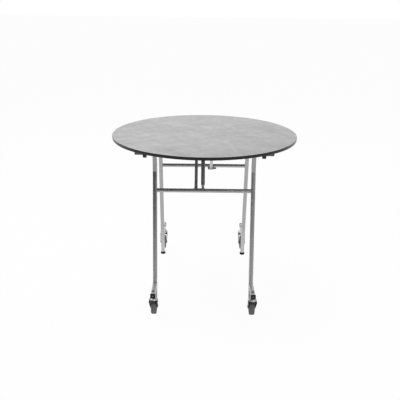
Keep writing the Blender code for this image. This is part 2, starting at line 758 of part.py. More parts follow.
def add_gas_spring(cylinder_name, rod_name, side, cylinder_material, rod_material):
    """A cylinder hanging from the far leaf and a rod that ends at the crossbar's lug."""
    length = (LUG_PIVOT - GAS_PIVOT).length
    tilt = lean(GAS_PIVOT, LUG_PIVOT)
    down = Vector((0, 0, -1))
    fitting = length - GAS_EYE_NECK - GAS_FITTING_LENGTH
    mouth = fitting - GAS_ROD_SHOWING
    radius = GAS_BODY_DIAMETER / 2
    body = [(GAS_EYE_NECK, 0), (GAS_EYE_NECK, radius), (mouth, radius), (mouth, 0)]
    eye, hole = gas_eye(0, -GAS_EYE_NECK - PLATE)
    origin = at(GAS_OFFSET, GAS_PIVOT)
    solid = turned(body, SMALL_STEPS, down)
    cylinder = add_piece(cylinder_name, solid, cylinder_material, side, origin, tilt, True)
    shape_with(cylinder, "UNION", [eye])
    bore = GAS_ROD_DIAMETER / 2 + RUNNING_GAP
    deep = mouth - GAS_ROD_INSIDE - GAS_BORE_SPARE
    well = [(deep, 0), (deep, bore), (length, bore), (length, 0)]
    shape_with(cylinder, "DIFFERENCE", [hole, turned(well, SMALL_STEPS, down)])

    thin = GAS_ROD_DIAMETER / 2
    thick = GAS_FITTING_DIAMETER / 2
    top = mouth - GAS_ROD_INSIDE - length
    profile = [
        (top, 0),
        (top, thin),
        (fitting - length, thin),
        (fitting - length, thick),
        (-GAS_EYE_NECK, thick),
        (-GAS_EYE_NECK, 0),
    ]
    eye, hole = gas_eye(0, GAS_EYE_NECK + PLATE)
    solid = turned(profile, SMALL_STEPS, down)
    origin = at(GAS_OFFSET, LUG_PIVOT)
    piston = add_piece(rod_name, solid, rod_material, side, origin, tilt, True)
    shape_with(piston, "UNION", [eye])
    shape_with(piston, "DIFFERENCE", [hole])


def add_half(side, far, finishes):
    """One leaf, its leg frame and castors, and the link that runs to the far leaf."""
    near = side.name.removesuffix("_half")
    steel = finishes["steel"]
    black = finishes["black"]
    add_leaf(f"{near}_leaf", side, finishes["board"])
    add_piece(
        f"{near}_pivot_tube",
        pipe(TUBE_LENGTH, TUBE_DIAMETER, TUBE_WALL, PIVOT),
        finishes["dark_steel"],
        side,
        at(0, PIVOT),
    )
    add_crossbar(f"{near}_crossbar", side, steel)
    for facing in (-1, 1):
        leg_x = facing * LEG_SPREAD / 2
        block_x = facing * BLOCK_SPREAD / 2
        hinge_x = facing * HINGE_SPREAD / 2
        which = world_hand(side, facing)
        add_block(f"{near}_pivot_block_{which}", side, block_x, black)
        add_plug(f"{near}_tube_plug_{which}", side, facing, black)
        add_leg(f"{near}_leg_{which}", side, leg_x, steel)
        add_foot(f"{near}_foot_{which}", side, leg_x, finishes["rubber"])
        add_outrigger(f"{near}_outrigger_{which}", side, leg_x, steel)
        add_cap(f"{near}_outrigger_cap_{which}", side, leg_x, black)
        add_castor_stem(f"{near}_castor_stem_{which}", side, leg_x, finishes["zinc"])
        add_castor_fork(f"{near}_castor_fork_{which}", side, leg_x, black)
        add_wheel(f"{near}_castor_wheel_{which}", side, leg_x, finishes["wheel"])
        add_axle(f"{near}_castor_axle_{which}", side, leg_x, finishes["zinc"])
        add_hinge_bracket(f"{near}_hinge_{which}", side, hinge_x, finishes["zinc"])
    link_eye = (-LINK_OFFSET, LINK_WIDTH)
    gas_eyes = [(GAS_OFFSET, GAS_EYE_WIDTH)] if near == "front" else []
    add_lug(f"{near}_crossbar_lug", side, [link_eye] + gas_eyes, finishes["zinc"])
    add_link(f"{near}_link", side, steel)
    pivots = [(*link_eye, LINK_PIVOT)] + [(*eye, GAS_PIVOT) for eye in gas_eyes]
    add_anchor(f"{far}_leaf_anchor", side, pivots, finishes["zinc"])


def main():
    for old in list(bpy.data.objects):
        bpy.data.objects.remove(old, do_unlink=True)
    finishes = {
        "board": finish("stone grey laminate", (0.50, 0.50, 0.50), 0.0, 0.45),
        "steel": finish("chromed steel", (0.62, 0.62, 0.62), 1.0, 0.18),
        "dark_steel": finish("grey painted steel", (0.10, 0.10, 0.10), 0.6, 0.40),
        "zinc": finish("zinc plated steel", (0.55, 0.55, 0.54), 1.0, 0.35),
        "black": finish("black plastic", (0.012, 0.012, 0.012), 0.0, 0.50),
        "rubber": finish("black rubber", (0.015, 0.015, 0.015), 0.0, 0.80),
        "wheel": finish("grey tread", (0.11, 0.11, 0.11), 0.0, 0.60),
    }
    halves = {}
    for name, turn in (("front", 0.0), ("rear", math.pi)):
        half = bpy.data.objects.new(f"{name}_half", None)
        half.rotation_euler = (0, 0, turn)
        bpy.context.scene.collection.objects.link(half)
        halves[name] = half
    add_half(halves["front"], "rear", finishes)
    add_half(halves["rear"], "front", finishes)
    for facing in (-1, 1):
        x = facing * HINGE_SPREAD / 2
        add_hinge_pin(f"hinge_pin_{hand(x)}", halves["front"], x, finishes["zinc"])
    add_gas_spring(
        "gas_cylinder", "gas_rod", halves["front"], finishes["dark_steel"], finishes["steel"]
    )


main()
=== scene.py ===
"""Looks of the round folding table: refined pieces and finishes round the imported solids.

Metres, +Z up, origin on the floor under the middle of the top. Pieces that come four times are
modelled once in the front half, at the middle of the table, and copied to their places.
"""

import math

import bmesh
import bpy
from mathutils import Matrix, Vector


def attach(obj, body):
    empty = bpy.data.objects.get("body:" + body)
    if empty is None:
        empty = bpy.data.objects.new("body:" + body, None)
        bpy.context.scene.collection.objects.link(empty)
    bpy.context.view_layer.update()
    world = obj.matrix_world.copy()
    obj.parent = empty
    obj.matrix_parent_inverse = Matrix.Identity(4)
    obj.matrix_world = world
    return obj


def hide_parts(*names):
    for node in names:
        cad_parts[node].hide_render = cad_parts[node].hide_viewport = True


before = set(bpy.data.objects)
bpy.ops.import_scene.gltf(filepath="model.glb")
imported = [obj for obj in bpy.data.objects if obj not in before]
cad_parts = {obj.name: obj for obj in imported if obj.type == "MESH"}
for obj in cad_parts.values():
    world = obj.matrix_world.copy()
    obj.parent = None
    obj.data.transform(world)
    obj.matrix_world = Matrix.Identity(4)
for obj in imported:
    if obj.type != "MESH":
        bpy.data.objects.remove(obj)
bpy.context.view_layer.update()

# Sizes of the top and its bearing blocks, as in the solids
TOP_RADIUS = 0.425
TOP_HEIGHT = 0.748
BOARD = 0.013
UNDERSIDE = TOP_HEIGHT - BOARD
RIM_ROUND = 0.0012
HALF_SEAM = 0.0003
SEAM_ARRIS = 0.0003
SEAT_GAP = 0.0003
SEAT = UNDERSIDE - SEAT_GAP
PIVOT = Vector((0, -0.1855, 0.704))
TUBE_RADIUS = 0.0125
TUBE_HALF = 0.303
BLOCK_X = 0.2615
BLOCK_WIDTH = 0.015
BLOCK_RADIUS = 0.0245
BLOCK_COLLAR = 0.0180
BLOCK_COLLAR_LIP = 0.0010
BLOCK_FLANGE_HALF = 0.036
BLOCK_FLANGE = 0.008
BLOCK_SCREW_REACH = 0.0303

# Sizes of the leg frames
LEG_X = 0.218
LEG_SIDE = 0.019
LEG_CORNER = 0.0025
LEG_RUN = 0.66
LEG_WELD_DROP = 0.02
BEND_HEIGHT = 0.619
BEND_RADIUS = 0.060
FOOT_Y = -0.2975
SPLAY = math.atan2(PIVOT.y - FOOT_Y, BEND_HEIGHT)
FOOT_HEIGHT = 0.012
CROSSBAR_HEIGHT = 0.534
CROSSBAR_RADIUS = 0.009
WELD_BEAD = 0.0011
OUTRIGGER_RISE = math.radians(5.0)
OUTRIGGER_HEIGHT = 0.110
OUTRIGGER_LENGTH = 0.139
CAP_SIDE = 0.022
CAP_CORNER = 0.0034
CAP_DEPTH = 0.0037
CAP_RIM = 0.0024
CAP_STUD_SEAT = 0.0031

# Sizes of the castors
CASTOR_INSET = 0.030
TRAIL = 0.034
DROP = 0.0638156
FORK_INNER = 0.0138
FORK_OUTER = 0.0168
FORK_CROWN = 0.0190
FORK_CROWN_REACH = 0.018
FORK_CROWN_DEPTH = 0.005
FORK_TOP = 0.0223
FORK_EYE = 0.010
SPOKES = 6

# Sizes of the hinges, the links and the gas spring
HINGE = Vector((0, 0, 0.6785))
HINGE_X = 0.240
HINGE_HALF = 0.020
HINGE_NEAR = -0.006
HINGE_FAR = -0.050
HINGE_EAR = 0.006
HINGE_EAR_FAR = -0.036
HINGE_SHOULDER = 0.0066
LUG_WALL = 0.0037
LUG_LIP = 0.0010
LUG_BOSS = 0.0078
LUG_START = math.radians(50)
LUG_SWEEP = math.radians(80)
LUG_PIVOT = Vector((0, -0.17888, 0.5265))
LINK_PIVOT = Vector((0, 0.07107, 0.6785))
GAS_PIVOT = Vector((0, 0.020, 0.6925))
LINK_X = -0.036
LINK_WIDTH = 0.014
LINK_HALF_THICK = 0.003
GAS_X = -0.005
GAS_EYE_WIDTH = 0.010
GAS_FITTING = 0.028
GAS_MOUTH_GAP = 0.004
ROD_RADIUS = 0.0040
EAR = 0.003
SIDE_GAP = 0.0005
EAR_REACH = SIDE_GAP + EAR
BOSS_RADIUS = 0.009
EYE_RADIUS = 0.008
ANCHOR_FOOT = 0.016
ANCHOR_MARGIN = 0.004
PLATE_CORNER = 0.004
BOLT_FLATS = 0.0115
BOLT_HEAD = 0.0038
BOLT_SHANK = 0.0040
BOLT_WASHER = 0.0010
BOLT_TAIL = 0.0020
REAR_BOLT_TAIL = 0.0105

# The same place, to within the rounding of a mesh
HAIR = 0.000001


def leg_centre(height):
    """The middle of a splayed leg at this height."""
    return Vector((0, PIVOT.y - (BEND_HEIGHT - height) * math.tan(SPLAY), height))


CROSSBAR = leg_centre(CROSSBAR_HEIGHT)
OUTWARD = Vector((0, -math.cos(OUTRIGGER_RISE), math.sin(OUTRIGGER_RISE)))
UPWARD = Vector((0, math.sin(OUTRIGGER_RISE), math.cos(OUTRIGGER_RISE)))
OUTRIGGER_ROOT = leg_centre(OUTRIGGER_HEIGHT)
OUTRIGGER_END = OUTRIGGER_ROOT + OUTWARD * OUTRIGGER_LENGTH
CASTOR_SEAT = OUTRIGGER_END - OUTWARD * CASTOR_INSET - UPWARD * LEG_SIDE / 2

# Turns and places
FRONT = Matrix.Identity(4)
REAR = Matrix.Rotation(math.pi, 4, "Z")
ALONG_X = Matrix.Rotation(math.pi / 2, 4, "Y")
DOWNWARD = Matrix.Rotation(math.pi, 4, "X")
CASTOR = Matrix.Translation(CASTOR_SEAT) @ Matrix.Rotation(-OUTRIGGER_RISE, 4, "X")
HANDS = (("left", -1), ("right", 1))
ENDS = (("front", FRONT), ("rear", REAR))

# Bodies that come at both ends
FRAME = "{end}_frame"
LEAF = "{end}_leaf_group"


def moved(place):
    return Matrix.Translation(place)


def corners(spacing):
    """The end, the hand and the placing of each of four like pieces."""
    for end, turn in ENDS:
        for hand, side in HANDS:
            local = side if end == "front" else -side
            yield end, hand, turn @ moved((local * spacing, 0, 0))


def lean(start, end):
    """The turn about X that points -Z from one place to another."""
    way = end - start
    return Matrix.Rotation(math.atan2(way.y, -way.z), 4, "X")


def across(place, along):
    """A placing whose +Z lies along a direction in the table's upright plane."""
    return moved(place) @ Matrix.Rotation(math.atan2(-along.y, along.z), 4, "X")


# Bench work


def bench():
    """Leaves edit mode and lays everything else aside."""
    if bpy.context.mode != "OBJECT":
        bpy.ops.object.mode_set(mode="OBJECT")
    bpy.ops.object.select_all(action="DESELECT")


def take(piece):
    bench()
    piece.select_set(True)
    bpy.context.view_layer.objects.active = piece


def select_all():
    bpy.ops.mesh.select_all(action="SELECT")


def edit(piece):
    """Takes a piece into edit mode with all of it selected."""
    take(piece)
    bpy.ops.object.mode_set(mode="EDIT")
    select_all()


def named(piece, name):
    piece.name = name
    piece.data.name = name
    return piece


def started(name, placing=None):
    """Names the new primitive and puts its place into its mesh."""
    piece = named(bpy.context.object, name)
    if placing is not None:
        piece.matrix_world = placing @ piece.matrix_world
    take(piece)
    bpy.ops.object.transform_apply(location=True, rotation=True, scale=True)
    return piece


def choose(kind, test):
    """Selects the vertices, edges or faces that pass a test."""
    modes = {"verts": "VERT", "edges": "EDGE", "faces": "FACE"}
    bpy.ops.mesh.select_mode(type=modes[kind])
    bpy.ops.mesh.select_all(action="DESELECT")
    shape = bmesh.from_edit_mesh(bpy.context.object.data)
    for item in getattr(shape, kind):
        if test(item):
            item.select_set(True)
    shape.select_flush_mode()
    bmesh.update_edit_mesh(bpy.context.object.data)


def middle(item):
    """The middle of an edge or a face."""
    total = sum((vert.co for vert in item.verts), Vector())
    return total / len(item.verts)


def rise(edge):
    """How far one end of an edge lies above the other."""
    return abs(edge.verts[0].co.z - edge.verts[1].co.z)


def push(x, y, z):
    bpy.ops.mesh.extrude_region_move(TRANSFORM_OT_translate={"value": (x, y, z)})


def round_edges(width, segments):
    """Rounds the selected edges."""
    bpy.ops.mesh.bevel(offset=width, segments=segments, affect="EDGES")


def face_out():
    """Turns every face outwards."""
    select_all()
    bpy.ops.mesh.normals_make_consistent(inside=False)


def apply_step(piece, kind, **settings):
    step = piece.modifiers.new(kind.lower(), kind)
    for key, value in settings.items():
        setattr(step, key, value)
    take(piece)
    bpy.ops.object.modifier_apply(modifier=step.name)


def soften(piece, width, segments=2, angle=38):
    """Rounds the sharp edges a little."""
    apply_step(
        piece, "BEVEL", width=width, segments=segments, limit_method="ANGLE",
        angle_limit=math.radians(angle), use_clamp_overlap=True,
    )


def combine(piece, operation, tools):
    """Joins pieces to this one, or cuts them from it, and puts the tools away."""
    for tool in tools:
        apply_step(piece, "BOOLEAN", operation=operation, solver="EXACT", object=tool)
        bpy.data.objects.remove(tool)


def tidy(piece, smooth=38):
    """Closes seams, turns faces outwards and smooths what is round."""
    edit(piece)
    bpy.ops.mesh.remove_doubles(threshold=2 * HAIR)
    face_out()
    bench()
    piece.select_set(True)
    bpy.ops.object.shade_smooth_by_angle(angle=math.radians(smooth))


def copy_of(piece, name, placing):
    """A copy with its own mesh, put in its place."""
    twin = bpy.data.objects.new(name, piece.data.copy())
    twin.data.name = name
    twin.data.transform(placing)
    bpy.context.scene.collection.objects.link(twin)
    return twin


def put_away(piece):
    bpy.data.objects.remove(piece)


def join(pieces, name):
    """Several blanks become one piece."""
    take(pieces[0])
    for piece in pieces[1:]:
        piece.select_set(True)
    if len(pieces) > 1:
        bpy.ops.object.join()
    return named(bpy.context.object, name)


def lay_finishes(piece, *finishes):
    for finish in finishes:
        piece.data.materials.append(finish)


def cover_faces(piece, index, test):
    """Gives the faces that pass a test the piece's finish of this number."""
    choose("faces", test)
    piece.active_material_index = index
    bpy.ops.object.material_slot_assign()


def fit(piece, body, slot, finish, *nodes):
    """Fastens a finished piece to its body and hides the solids it stands for."""
    if finish is not None:
        piece.data.materials.clear()
        piece.data.materials.append(finish)
    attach(piece, body)
    if nodes:
        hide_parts(*nodes)


def spread(piece, label, slot, finish, node_label=None, spacing=LEG_X, body=FRAME):
    """Copies a piece to the four corners and fastens each copy."""
    for end, hand, placing in corners(spacing):
        twin = copy_of(piece, f"{end}_{label}_{hand}", placing)
        nodes = [f"{end}_{node_label}_{hand}"] if node_label else []
        fit(twin, body.format(end=end, hand=hand), slot, finish, *nodes)
    put_away(piece)


def both_ends(piece, label, slot, finish, node_label=None, body=FRAME):
    """Copies a piece to the front and the rear half."""
    for end, turn in ENDS:
        twin = copy_of(piece, f"{end}_{label}", turn)
        nodes = [f"{end}_{node_label}"] if node_label else []
        fit(twin, body.format(end=end), slot, finish, *nodes)
    put_away(piece)


def turned(name, profile, steps, placing=None):
    """A solid of revolution: a disc drawn out along +Z through (along, radius) stations."""
    bench()
    along, radius = profile[0]
    bpy.ops.mesh.primitive_circle_add(
        vertices=steps, radius=radius, fill_type="NGON", location=(0, 0, along)
    )
    piece = started(name)
    edit(piece)
    for next_along, next_radius in profile[1:]:
        push(0, 0, next_along - along)
        grow = next_radius / radius
        bpy.ops.transform.resize(value=(grow, grow, 1), center_override=(0, 0, next_along))
        along, radius = next_along, next_radius
    bench()
    if placing is not None:
        piece.data.transform(placing)
    tidy(piece)
    return piece


def stations(base, *pairs):
    """Stations of a profile from pairs in millimetres, the first of each counted from a base."""
    return [(base + along / 1000, radius / 1000) for along, radius in pairs]


def mirrored(flank):
    """A profile that runs on through its mirror image."""
    return flank + [(-along, radius) for along, radius in reversed(flank)]


def block(name, low, high):
    """A rectangular blank between two corners."""
    low, high = Vector(low), Vector(high)
    bench()
    bpy.ops.mesh.primitive_cube_add(size=1, location=(low + high) / 2)
    bpy.context.object.scale = high - low
    return started(name)


def bar_disc(name, centre, radius, low, high, steps=40):
    """A round blank along X."""
    bench()
    bpy.ops.mesh.primitive_cylinder_add(
        vertices=steps, radius=radius, depth=high - low, rotation=(0, math.pi / 2, 0),
        location=((low + high) / 2, centre.y, centre.z),
    )
    return started(name)


def wrapped(name, blanks):
    """A plate whose outline is drawn tight round its blanks."""
    piece = join(blanks, name)
    edit(piece)
    bpy.ops.mesh.convex_hull()
    select_all()
    bpy.ops.mesh.dissolve_limited(angle_limit=math.radians(1))
    bench()
    return piece


def square_face(name, side, corner, placing, segments=4):
    """A square face with rounded corners, ready to be drawn out."""
    bench()
    bpy.ops.mesh.primitive_plane_add(size=side)
    piece = started(name, placing)
    edit(piece)
    bpy.ops.mesh.bevel(offset=corner, segments=segments, affect="VERTICES")
    select_all()
    return piece


def round_plate(plate):
    """Rounds the four upright corners of a plate."""
    edit(plate)
    choose("edges", lambda edge: rise(edge) > EAR / 2)
    round_edges(PLATE_CORNER, 5)
    bench()


# Finishes


def colour(tone):
    """A grey from one number, or a colour from three."""
    return (*(tone if isinstance(tone, tuple) else (tone,) * 3), 1)


def feed(tree, socket, value):
    """Sets a socket to a value, or links another node's output to it."""
    if isinstance(value, bpy.types.NodeSocket):
        tree.links.new(value, socket)
    else:
        socket.default_value = value


def node(tree, kind, settings=None, **inputs):
    """A node with its settings and inputs; an input is a value or another node's output."""
    made = tree.nodes.new(kind)
    for key, value in (settings or {}).items():
        setattr(made, key, value)
    for key, value in inputs.items():
        feed(tree, made.inputs[key.replace("_", " ")], value)
    return made


def maths(tree, operation, *values):
    """The result of one operation on values or outputs."""
    made = node(tree, "ShaderNodeMath", {"operation": operation})
    for socket, value in zip(made.inputs, values):
        feed(tree, socket, value)
    return made.outputs[0]


def plain_finish(name, tone, metallic, roughness, specular=0.5):
    """A new finish with its even values, and its node tree."""
    finish = bpy.data.materials.new(name)
    finish.use_nodes = True
    tree = finish.node_tree
    shader = tree.nodes["Principled BSDF"].inputs
    shader["Base Color"].default_value = colour(tone)
    shader["Metallic"].default_value = metallic
    shader["Roughness"].default_value = roughness
    shader["Specular IOR Level"].default_value = specular
    node(tree, "ShaderNodeTexCoord")
    return finish, tree


def where(tree):
    """The Object coordinates of a finish."""
    return tree.nodes["Texture Coordinate"].outputs["Object"]


def mottle(tree, scale, detail=4.0, roughness=0.55, stretch=None, turn=0.0):
    """Noise on the coordinates, stretched and turned by degrees about Z where asked."""
    place = where(tree)
    if stretch:
        around = (0, 0, math.radians(turn))
        place = node(tree, "ShaderNodeMapping", Vector=place, Rotation=around).outputs[0]
        place = node(tree, "ShaderNodeMapping", Vector=place, Scale=stretch).outputs[0]
    made = node(
        tree, "ShaderNodeTexNoise", Vector=place, Scale=scale, Detail=detail, Roughness=roughness
    )
    return made.outputs["Fac"]


def shades(tree, factor, *stops):
    """A ramp of greys or colours over a factor."""
    ramp = node(tree, "ShaderNodeValToRGB", Fac=factor)
    while len(ramp.color_ramp.elements) < len(stops):
        ramp.color_ramp.elements.new(0.5)
    for element, (position, tone) in zip(ramp.color_ramp.elements, stops):
        element.position = position
        element.color = colour(tone)
    return ramp.outputs["Color"]


def over(tree, kind, amount, under, upper):
    """One colour laid over another."""
    mix = node(tree, "ShaderNodeMix", {"data_type": "RGBA", "blend_type": kind})
    for index, value in ((0, amount), (6, under), (7, upper)):
        feed(tree, mix.inputs[index], value)
    return mix.outputs[2]


def layered(tree, tone, amount, marks, *stops):
    """A tone darkened and lightened by its marks."""
    return over(tree, "MULTIPLY", amount, tone, shades(tree, marks, *stops))


def dress(tree, tone, gloss):
    """Gives the shader its tone and its gloss."""
    shader = tree.nodes["Principled BSDF"].inputs
    feed(tree, shader["Base Color"], tone)
    feed(tree, shader["Roughness"], gloss)


def relief(tree, height, strength, depth):
    bump = node(tree, "ShaderNodeBump", Height=height, Strength=strength, Distance=depth)
    feed(tree, tree.nodes["Principled BSDF"].inputs["Normal"], bump.outputs["Normal"])


def stone_laminate():
    """Matt grey laminate with the clouds, trowel marks and faint veins of cast concrete."""
    finish, tree = plain_finish("stone grey laminate", 0.37, 0, 0.45)
    clouds = mottle(tree, 5.0, 8, 0.62)
    tone = shades(tree, clouds, (0.30, 0.312), (0.50, 0.350), (0.72, 0.390))
    streaks = mottle(tree, 5.0, 6, 0.65, (1.0, 4.5, 1.0), -38)
    tone = layered(tree, tone, 0.9, streaks, (0.34, 0.89), (0.52, 1.0), (0.70, 1.09))
    trowel = mottle(tree, 9.0, 7, 0.7, (1.0, 3.0, 1.0), 52)
    tone = layered(tree, tone, 0.9, trowel, (0.36, 0.88), (0.50, 1.0), (0.64, 1.11))
    haze = mottle(tree, 26, 6, 0.7)
    tone = layered(tree, tone, 0.8, haze, (0.32, 0.88), (0.68, 1.11))
    flecks = mottle(tree, 55, 3, 0.6, (1.0, 0.7, 1.0), 20)
    tone = layered(tree, tone, 0.9, flecks, (0.60, 0.99), (0.72, 1.16))
    line = vein(tree, Vector((0.098, -0.090, 0)), Vector((0.143, -0.415, 0)))
    tone = over(tree, "MIX", line, tone, colour(0.47))
    grain = mottle(tree, 420, 2, 0.5)
    tone = layered(tree, tone, 0.7, grain, (0.30, 0.93), (0.70, 1.05))
    gloss = shades(tree, mottle(tree, 60, 4, 0.6), (0.3, 0.35), (0.7, 0.46))
    dress(tree, tone, gloss)
    relief(tree, mottle(tree, 700, 3, 0.6), 0.10, 0.0003)
    return finish


def vein(tree, start, end):
    """A faint line that wanders from one place on the top to another, as a share."""
    way = end - start
    drift = node(tree, "ShaderNodeTexNoise", Vector=where(tree), Scale=9.0, Detail=5.0)
    laid = node(
        tree,
        "ShaderNodeMapping",
        {"vector_type": "TEXTURE"},
        Vector=over(tree, "LINEAR_LIGHT", 0.035, where(tree), drift.outputs["Color"]),
        Location=start,
        Rotation=(0, 0, math.atan2(way.y, way.x)),
    )
    apart = node(tree, "ShaderNodeSeparateXYZ", Vector=laid.outputs[0]).outputs
    side = maths(tree, "ABSOLUTE", apart["Y"])
    width = shades(tree, side, (0.0, 0.40), (0.004, 0.26), (0.012, 0.0))
    far = node(tree, "ShaderNodeMapRange", Value=apart["X"], From_Max=way.length).outputs[0]
    length = shades(tree, far, (0.0, 0.0), (0.25, 1.0), (0.80, 1.0), (1.0, 0.0))
    return over(tree, "MULTIPLY", 1.0, width, length)


def board_backing():
    """Plain grey backing sheet under the boards, a little fibrous."""
    gloss = 0.6
    finish, tree = plain_finish("board backing", 0.26, 0, gloss)
    fibre = mottle(tree, 40, 6, 0.65, (1.0, 5.0, 1.0))
    tone = shades(tree, fibre, (0.30, 0.23), (0.70, 0.30))
    tone = layered(tree, tone, 0.6, mottle(tree, 6, 4), (0.3, 0.88), (0.7, 1.08))
    dress(tree, tone, gloss)
    relief(tree, mottle(tree, 500, 3), 0.15, 0.0003)
    return finish


def satin_chrome(name, drawn):
    """Drawn tube with a satin chrome skin, faint draw lines and smears, rougher near the floor and
    painted paler there as a painted reflection of the white floor.
    """
    finish, tree = plain_finish(name, (0.43, 0.43, 0.435), 1, 0.24)
    smears = mottle(tree, 28, 5, 0.6)
    lines = mottle(tree, 90, 3, 0.6, drawn)
    height = node(tree, "ShaderNodeSeparateXYZ", Vector=where(tree)).outputs["Z"]
    # Below about 0.12 m, fading out by 0.165 m, the tone is painted paler as a painted reflection of
    # the white floor, and the gloss turns rougher
    near_floor_reflection_and_dulling = shades(tree, height, (0.118, 1.0), (0.165, 0.0))
    clean = shades(tree, smears, (0.25, (0.395, 0.395, 0.400)), (0.75, (0.440, 0.440, 0.445)))
    painted_floor_reflection = shades(tree, smears, (0.25, (0.520, 0.520, 0.525)), (0.75, (0.580, 0.580, 0.585)))
    sheen = shades(tree, smears, (0.30, 0.22), (0.70, 0.29))
    sheen = layered(tree, sheen, 0.6, lines, (0.30, 0.86), (0.70, 1.12))
    dull = shades(tree, lines, (0.30, 0.42), (0.70, 0.52))
    tone = over(tree, "MIX", near_floor_reflection_and_dulling, clean, painted_floor_reflection)
    dress(tree, tone, over(tree, "MIX", near_floor_reflection_and_dulling, sheen, dull))
    relief(tree, lines, 0.012, 0.0001)
    return finish


def zinc_plate():
    """Zinc plated steel: soft grey spangle and small dull spots."""
    finish, tree = plain_finish("zinc plate", (0.52, 0.52, 0.51), 1, 0.36)
    spangle = node(tree, "ShaderNodeTexVoronoi", Vector=where(tree), Scale=420.0).outputs["Color"]
    spots = mottle(tree, 120, 5, 0.7)
    tone = shades(tree, spots, (0.30, 0.50), (0.60, (0.62, 0.62, 0.61)))
    gloss = shades(tree, spots, (0.30, 0.54), (0.70, 0.40))
    dress(tree, over(tree, "OVERLAY", 0.10, tone, spangle), gloss)
    relief(tree, spots, 0.06, 0.0002)
    return finish


def stoved_paint(name, dark, light):
    """Grey stoved paint with orange peel and tiny bright nicks."""
    finish, tree = plain_finish(name, dark, 0, 0.38)
    body = shades(tree, mottle(tree, 50, 4), (0.3, dark), (0.7, light))
    nicks = shades(tree, mottle(tree, 260, 3, 0.75), (0.74, 0.0), (0.79, 1.0))
    gloss = shades(tree, mottle(tree, 80, 4), (0.3, 0.32), (0.7, 0.46))
    dress(tree, over(tree, "MIX", nicks, body, colour(0.22)), gloss)
    relief(tree, mottle(tree, 650, 2), 0.12, 0.0003)
    return finish


def grey_tread():
    """Grey non-marking tyre with rolled-in dirt."""
    finish, tree = plain_finish("grey tread", 0.105, 0, 0.62)
    dirt = mottle(tree, 95, 6, 0.7)
    tone = shades(tree, dirt, (0.30, 0.105), (0.50, 0.138), (0.75, 0.170))
    tone = layered(tree, tone, 0.8, mottle(tree, 900, 2), (0.30, 0.88), (0.70, 1.10))
    dress(tree, tone, shades(tree, dirt, (0.30, 0.52), (0.70, 0.74)))
    relief(tree, mottle(tree, 1100, 3), 0.25, 0.0003)
    return finish


def marked(name, tone, metallic, roughness, specular, marks, tones, gloss, bump, grain=None):
    """A finish whose tone and gloss follow one mottle, with that relief or a grain of its own."""
    finish, tree = plain_finish(name, tone, metallic, roughness, specular)
    spots = mottle(tree, *marks)
    dress(tree, shades(tree, spots, *tones), shades(tree, spots, *gloss))
    relief(tree, mottle(tree, *grain) if grain else spots, *bump)
    return finish


LAMINATE = stone_laminate()
BACKING = board_backing()
CHROME = satin_chrome("satin chrome leg", (14.0, 14.0, 0.6))
BAR_CHROME = satin_chrome("satin chrome bar", (0.6, 14.0, 14.0))
ARM_CHROME = satin_chrome("satin chrome arm", (14.0, 0.6, 14.0))
ZINC = zinc_plate()
PAINT = stoved_paint("dark grey paint", 0.088, 0.104)
STRUT_PAINT = stoved_paint("strut paint", 0.160, 0.185)
TREAD = grey_tread()

# Black edge band with a fine grain and a few dull scuffs
BAND = marked(
    "black edge band", 0.009, 0, 0.22, 0.32, (90, 6, 0.7, (1.0, 1.0, 5.0)),
    tones=((0.55, 0.007), (0.80, 0.020)), gloss=((0.40, 0.15), (0.75, 0.30)),
    bump=(0.12, 0.0002), grain=(1500, 2),
)
# Moulded black plastic with a spark-eroded grain
PLASTIC = marked(
    "black plastic", 0.008, 0, 0.48, 0.26, (70, 5, 0.65),
    tones=((0.35, 0.005), (0.75, 0.012)), gloss=((0.30, 0.40), (0.70, 0.56)),
    bump=(0.22, 0.0002), grain=(1800, 2),
)
# Black enamel on pressed steel, slightly worn
ENAMEL = marked(
    "black enamel", 0.010, 0, 0.34, 0.40, (140, 5, 0.7),
    tones=((0.55, 0.008), (0.85, 0.040)), gloss=((0.35, 0.30), (0.75, 0.50)),
    bump=(0.10, 0.0002), grain=(900, 2),
)
# Matt black rubber with a dusty bloom
RUBBER = marked(
    "black rubber", 0.007, 0, 0.82, 0.16, (110, 6, 0.7),
    tones=((0.40, 0.004), (0.78, 0.014)), gloss=((0.30, 0.72), (0.70, 0.90)),
    bump=(0.30, 0.0003), grain=(1300, 3),
)
# Moulded grey plastic of the wheel cores
CORE = marked(
    "grey wheel core", 0.20, 0, 0.5, 0.5, (85, 5, 0.65),
    tones=((0.30, 0.165), (0.70, 0.225)), gloss=((0.30, 0.44), (0.70, 0.60)),
    bump=(0.18, 0.0002), grain=(1600, 2),
)
# Hard chromed piston rod
ROD = marked(
    "bright rod", (0.66, 0.66, 0.67), 1, 0.12, 0.5, (180, 4, 0.6),
    tones=((0.3, 0.60), (0.7, 0.68)), gloss=((0.3, 0.08), (0.7, 0.20)),
    bump=(0.02, 0.0001),
)
# Weld bead under the chrome, duller and rippled
WELD = marked(
    "weld bead", 0.46, 1, 0.5, 0.5, (300, 4, 0.6),
    tones=((0.30, 0.40), (0.70, 0.52)), gloss=((0.30, 0.58), (0.70, 0.42)),
    bump=(0.10, 0.0002),
)


# Shared fastenings


def hex_blank(name, low, high):
    """A six-sided head or nut along X with its corners turned off."""
    piece = bar_disc(name, Vector(), BOLT_FLATS / math.sqrt(3), low, high, 6)
    face = BOLT_FLATS * 0.52
    corner = BOLT_FLATS * 0.59
    chamfer = 0.0007
    profile = [(low, face), (low + chamfer, corner), (high - chamfer, corner), (high, face)]
    combine(piece, "INTERSECT", [turned("cone", profile, 48, ALONG_X)])
    return piece


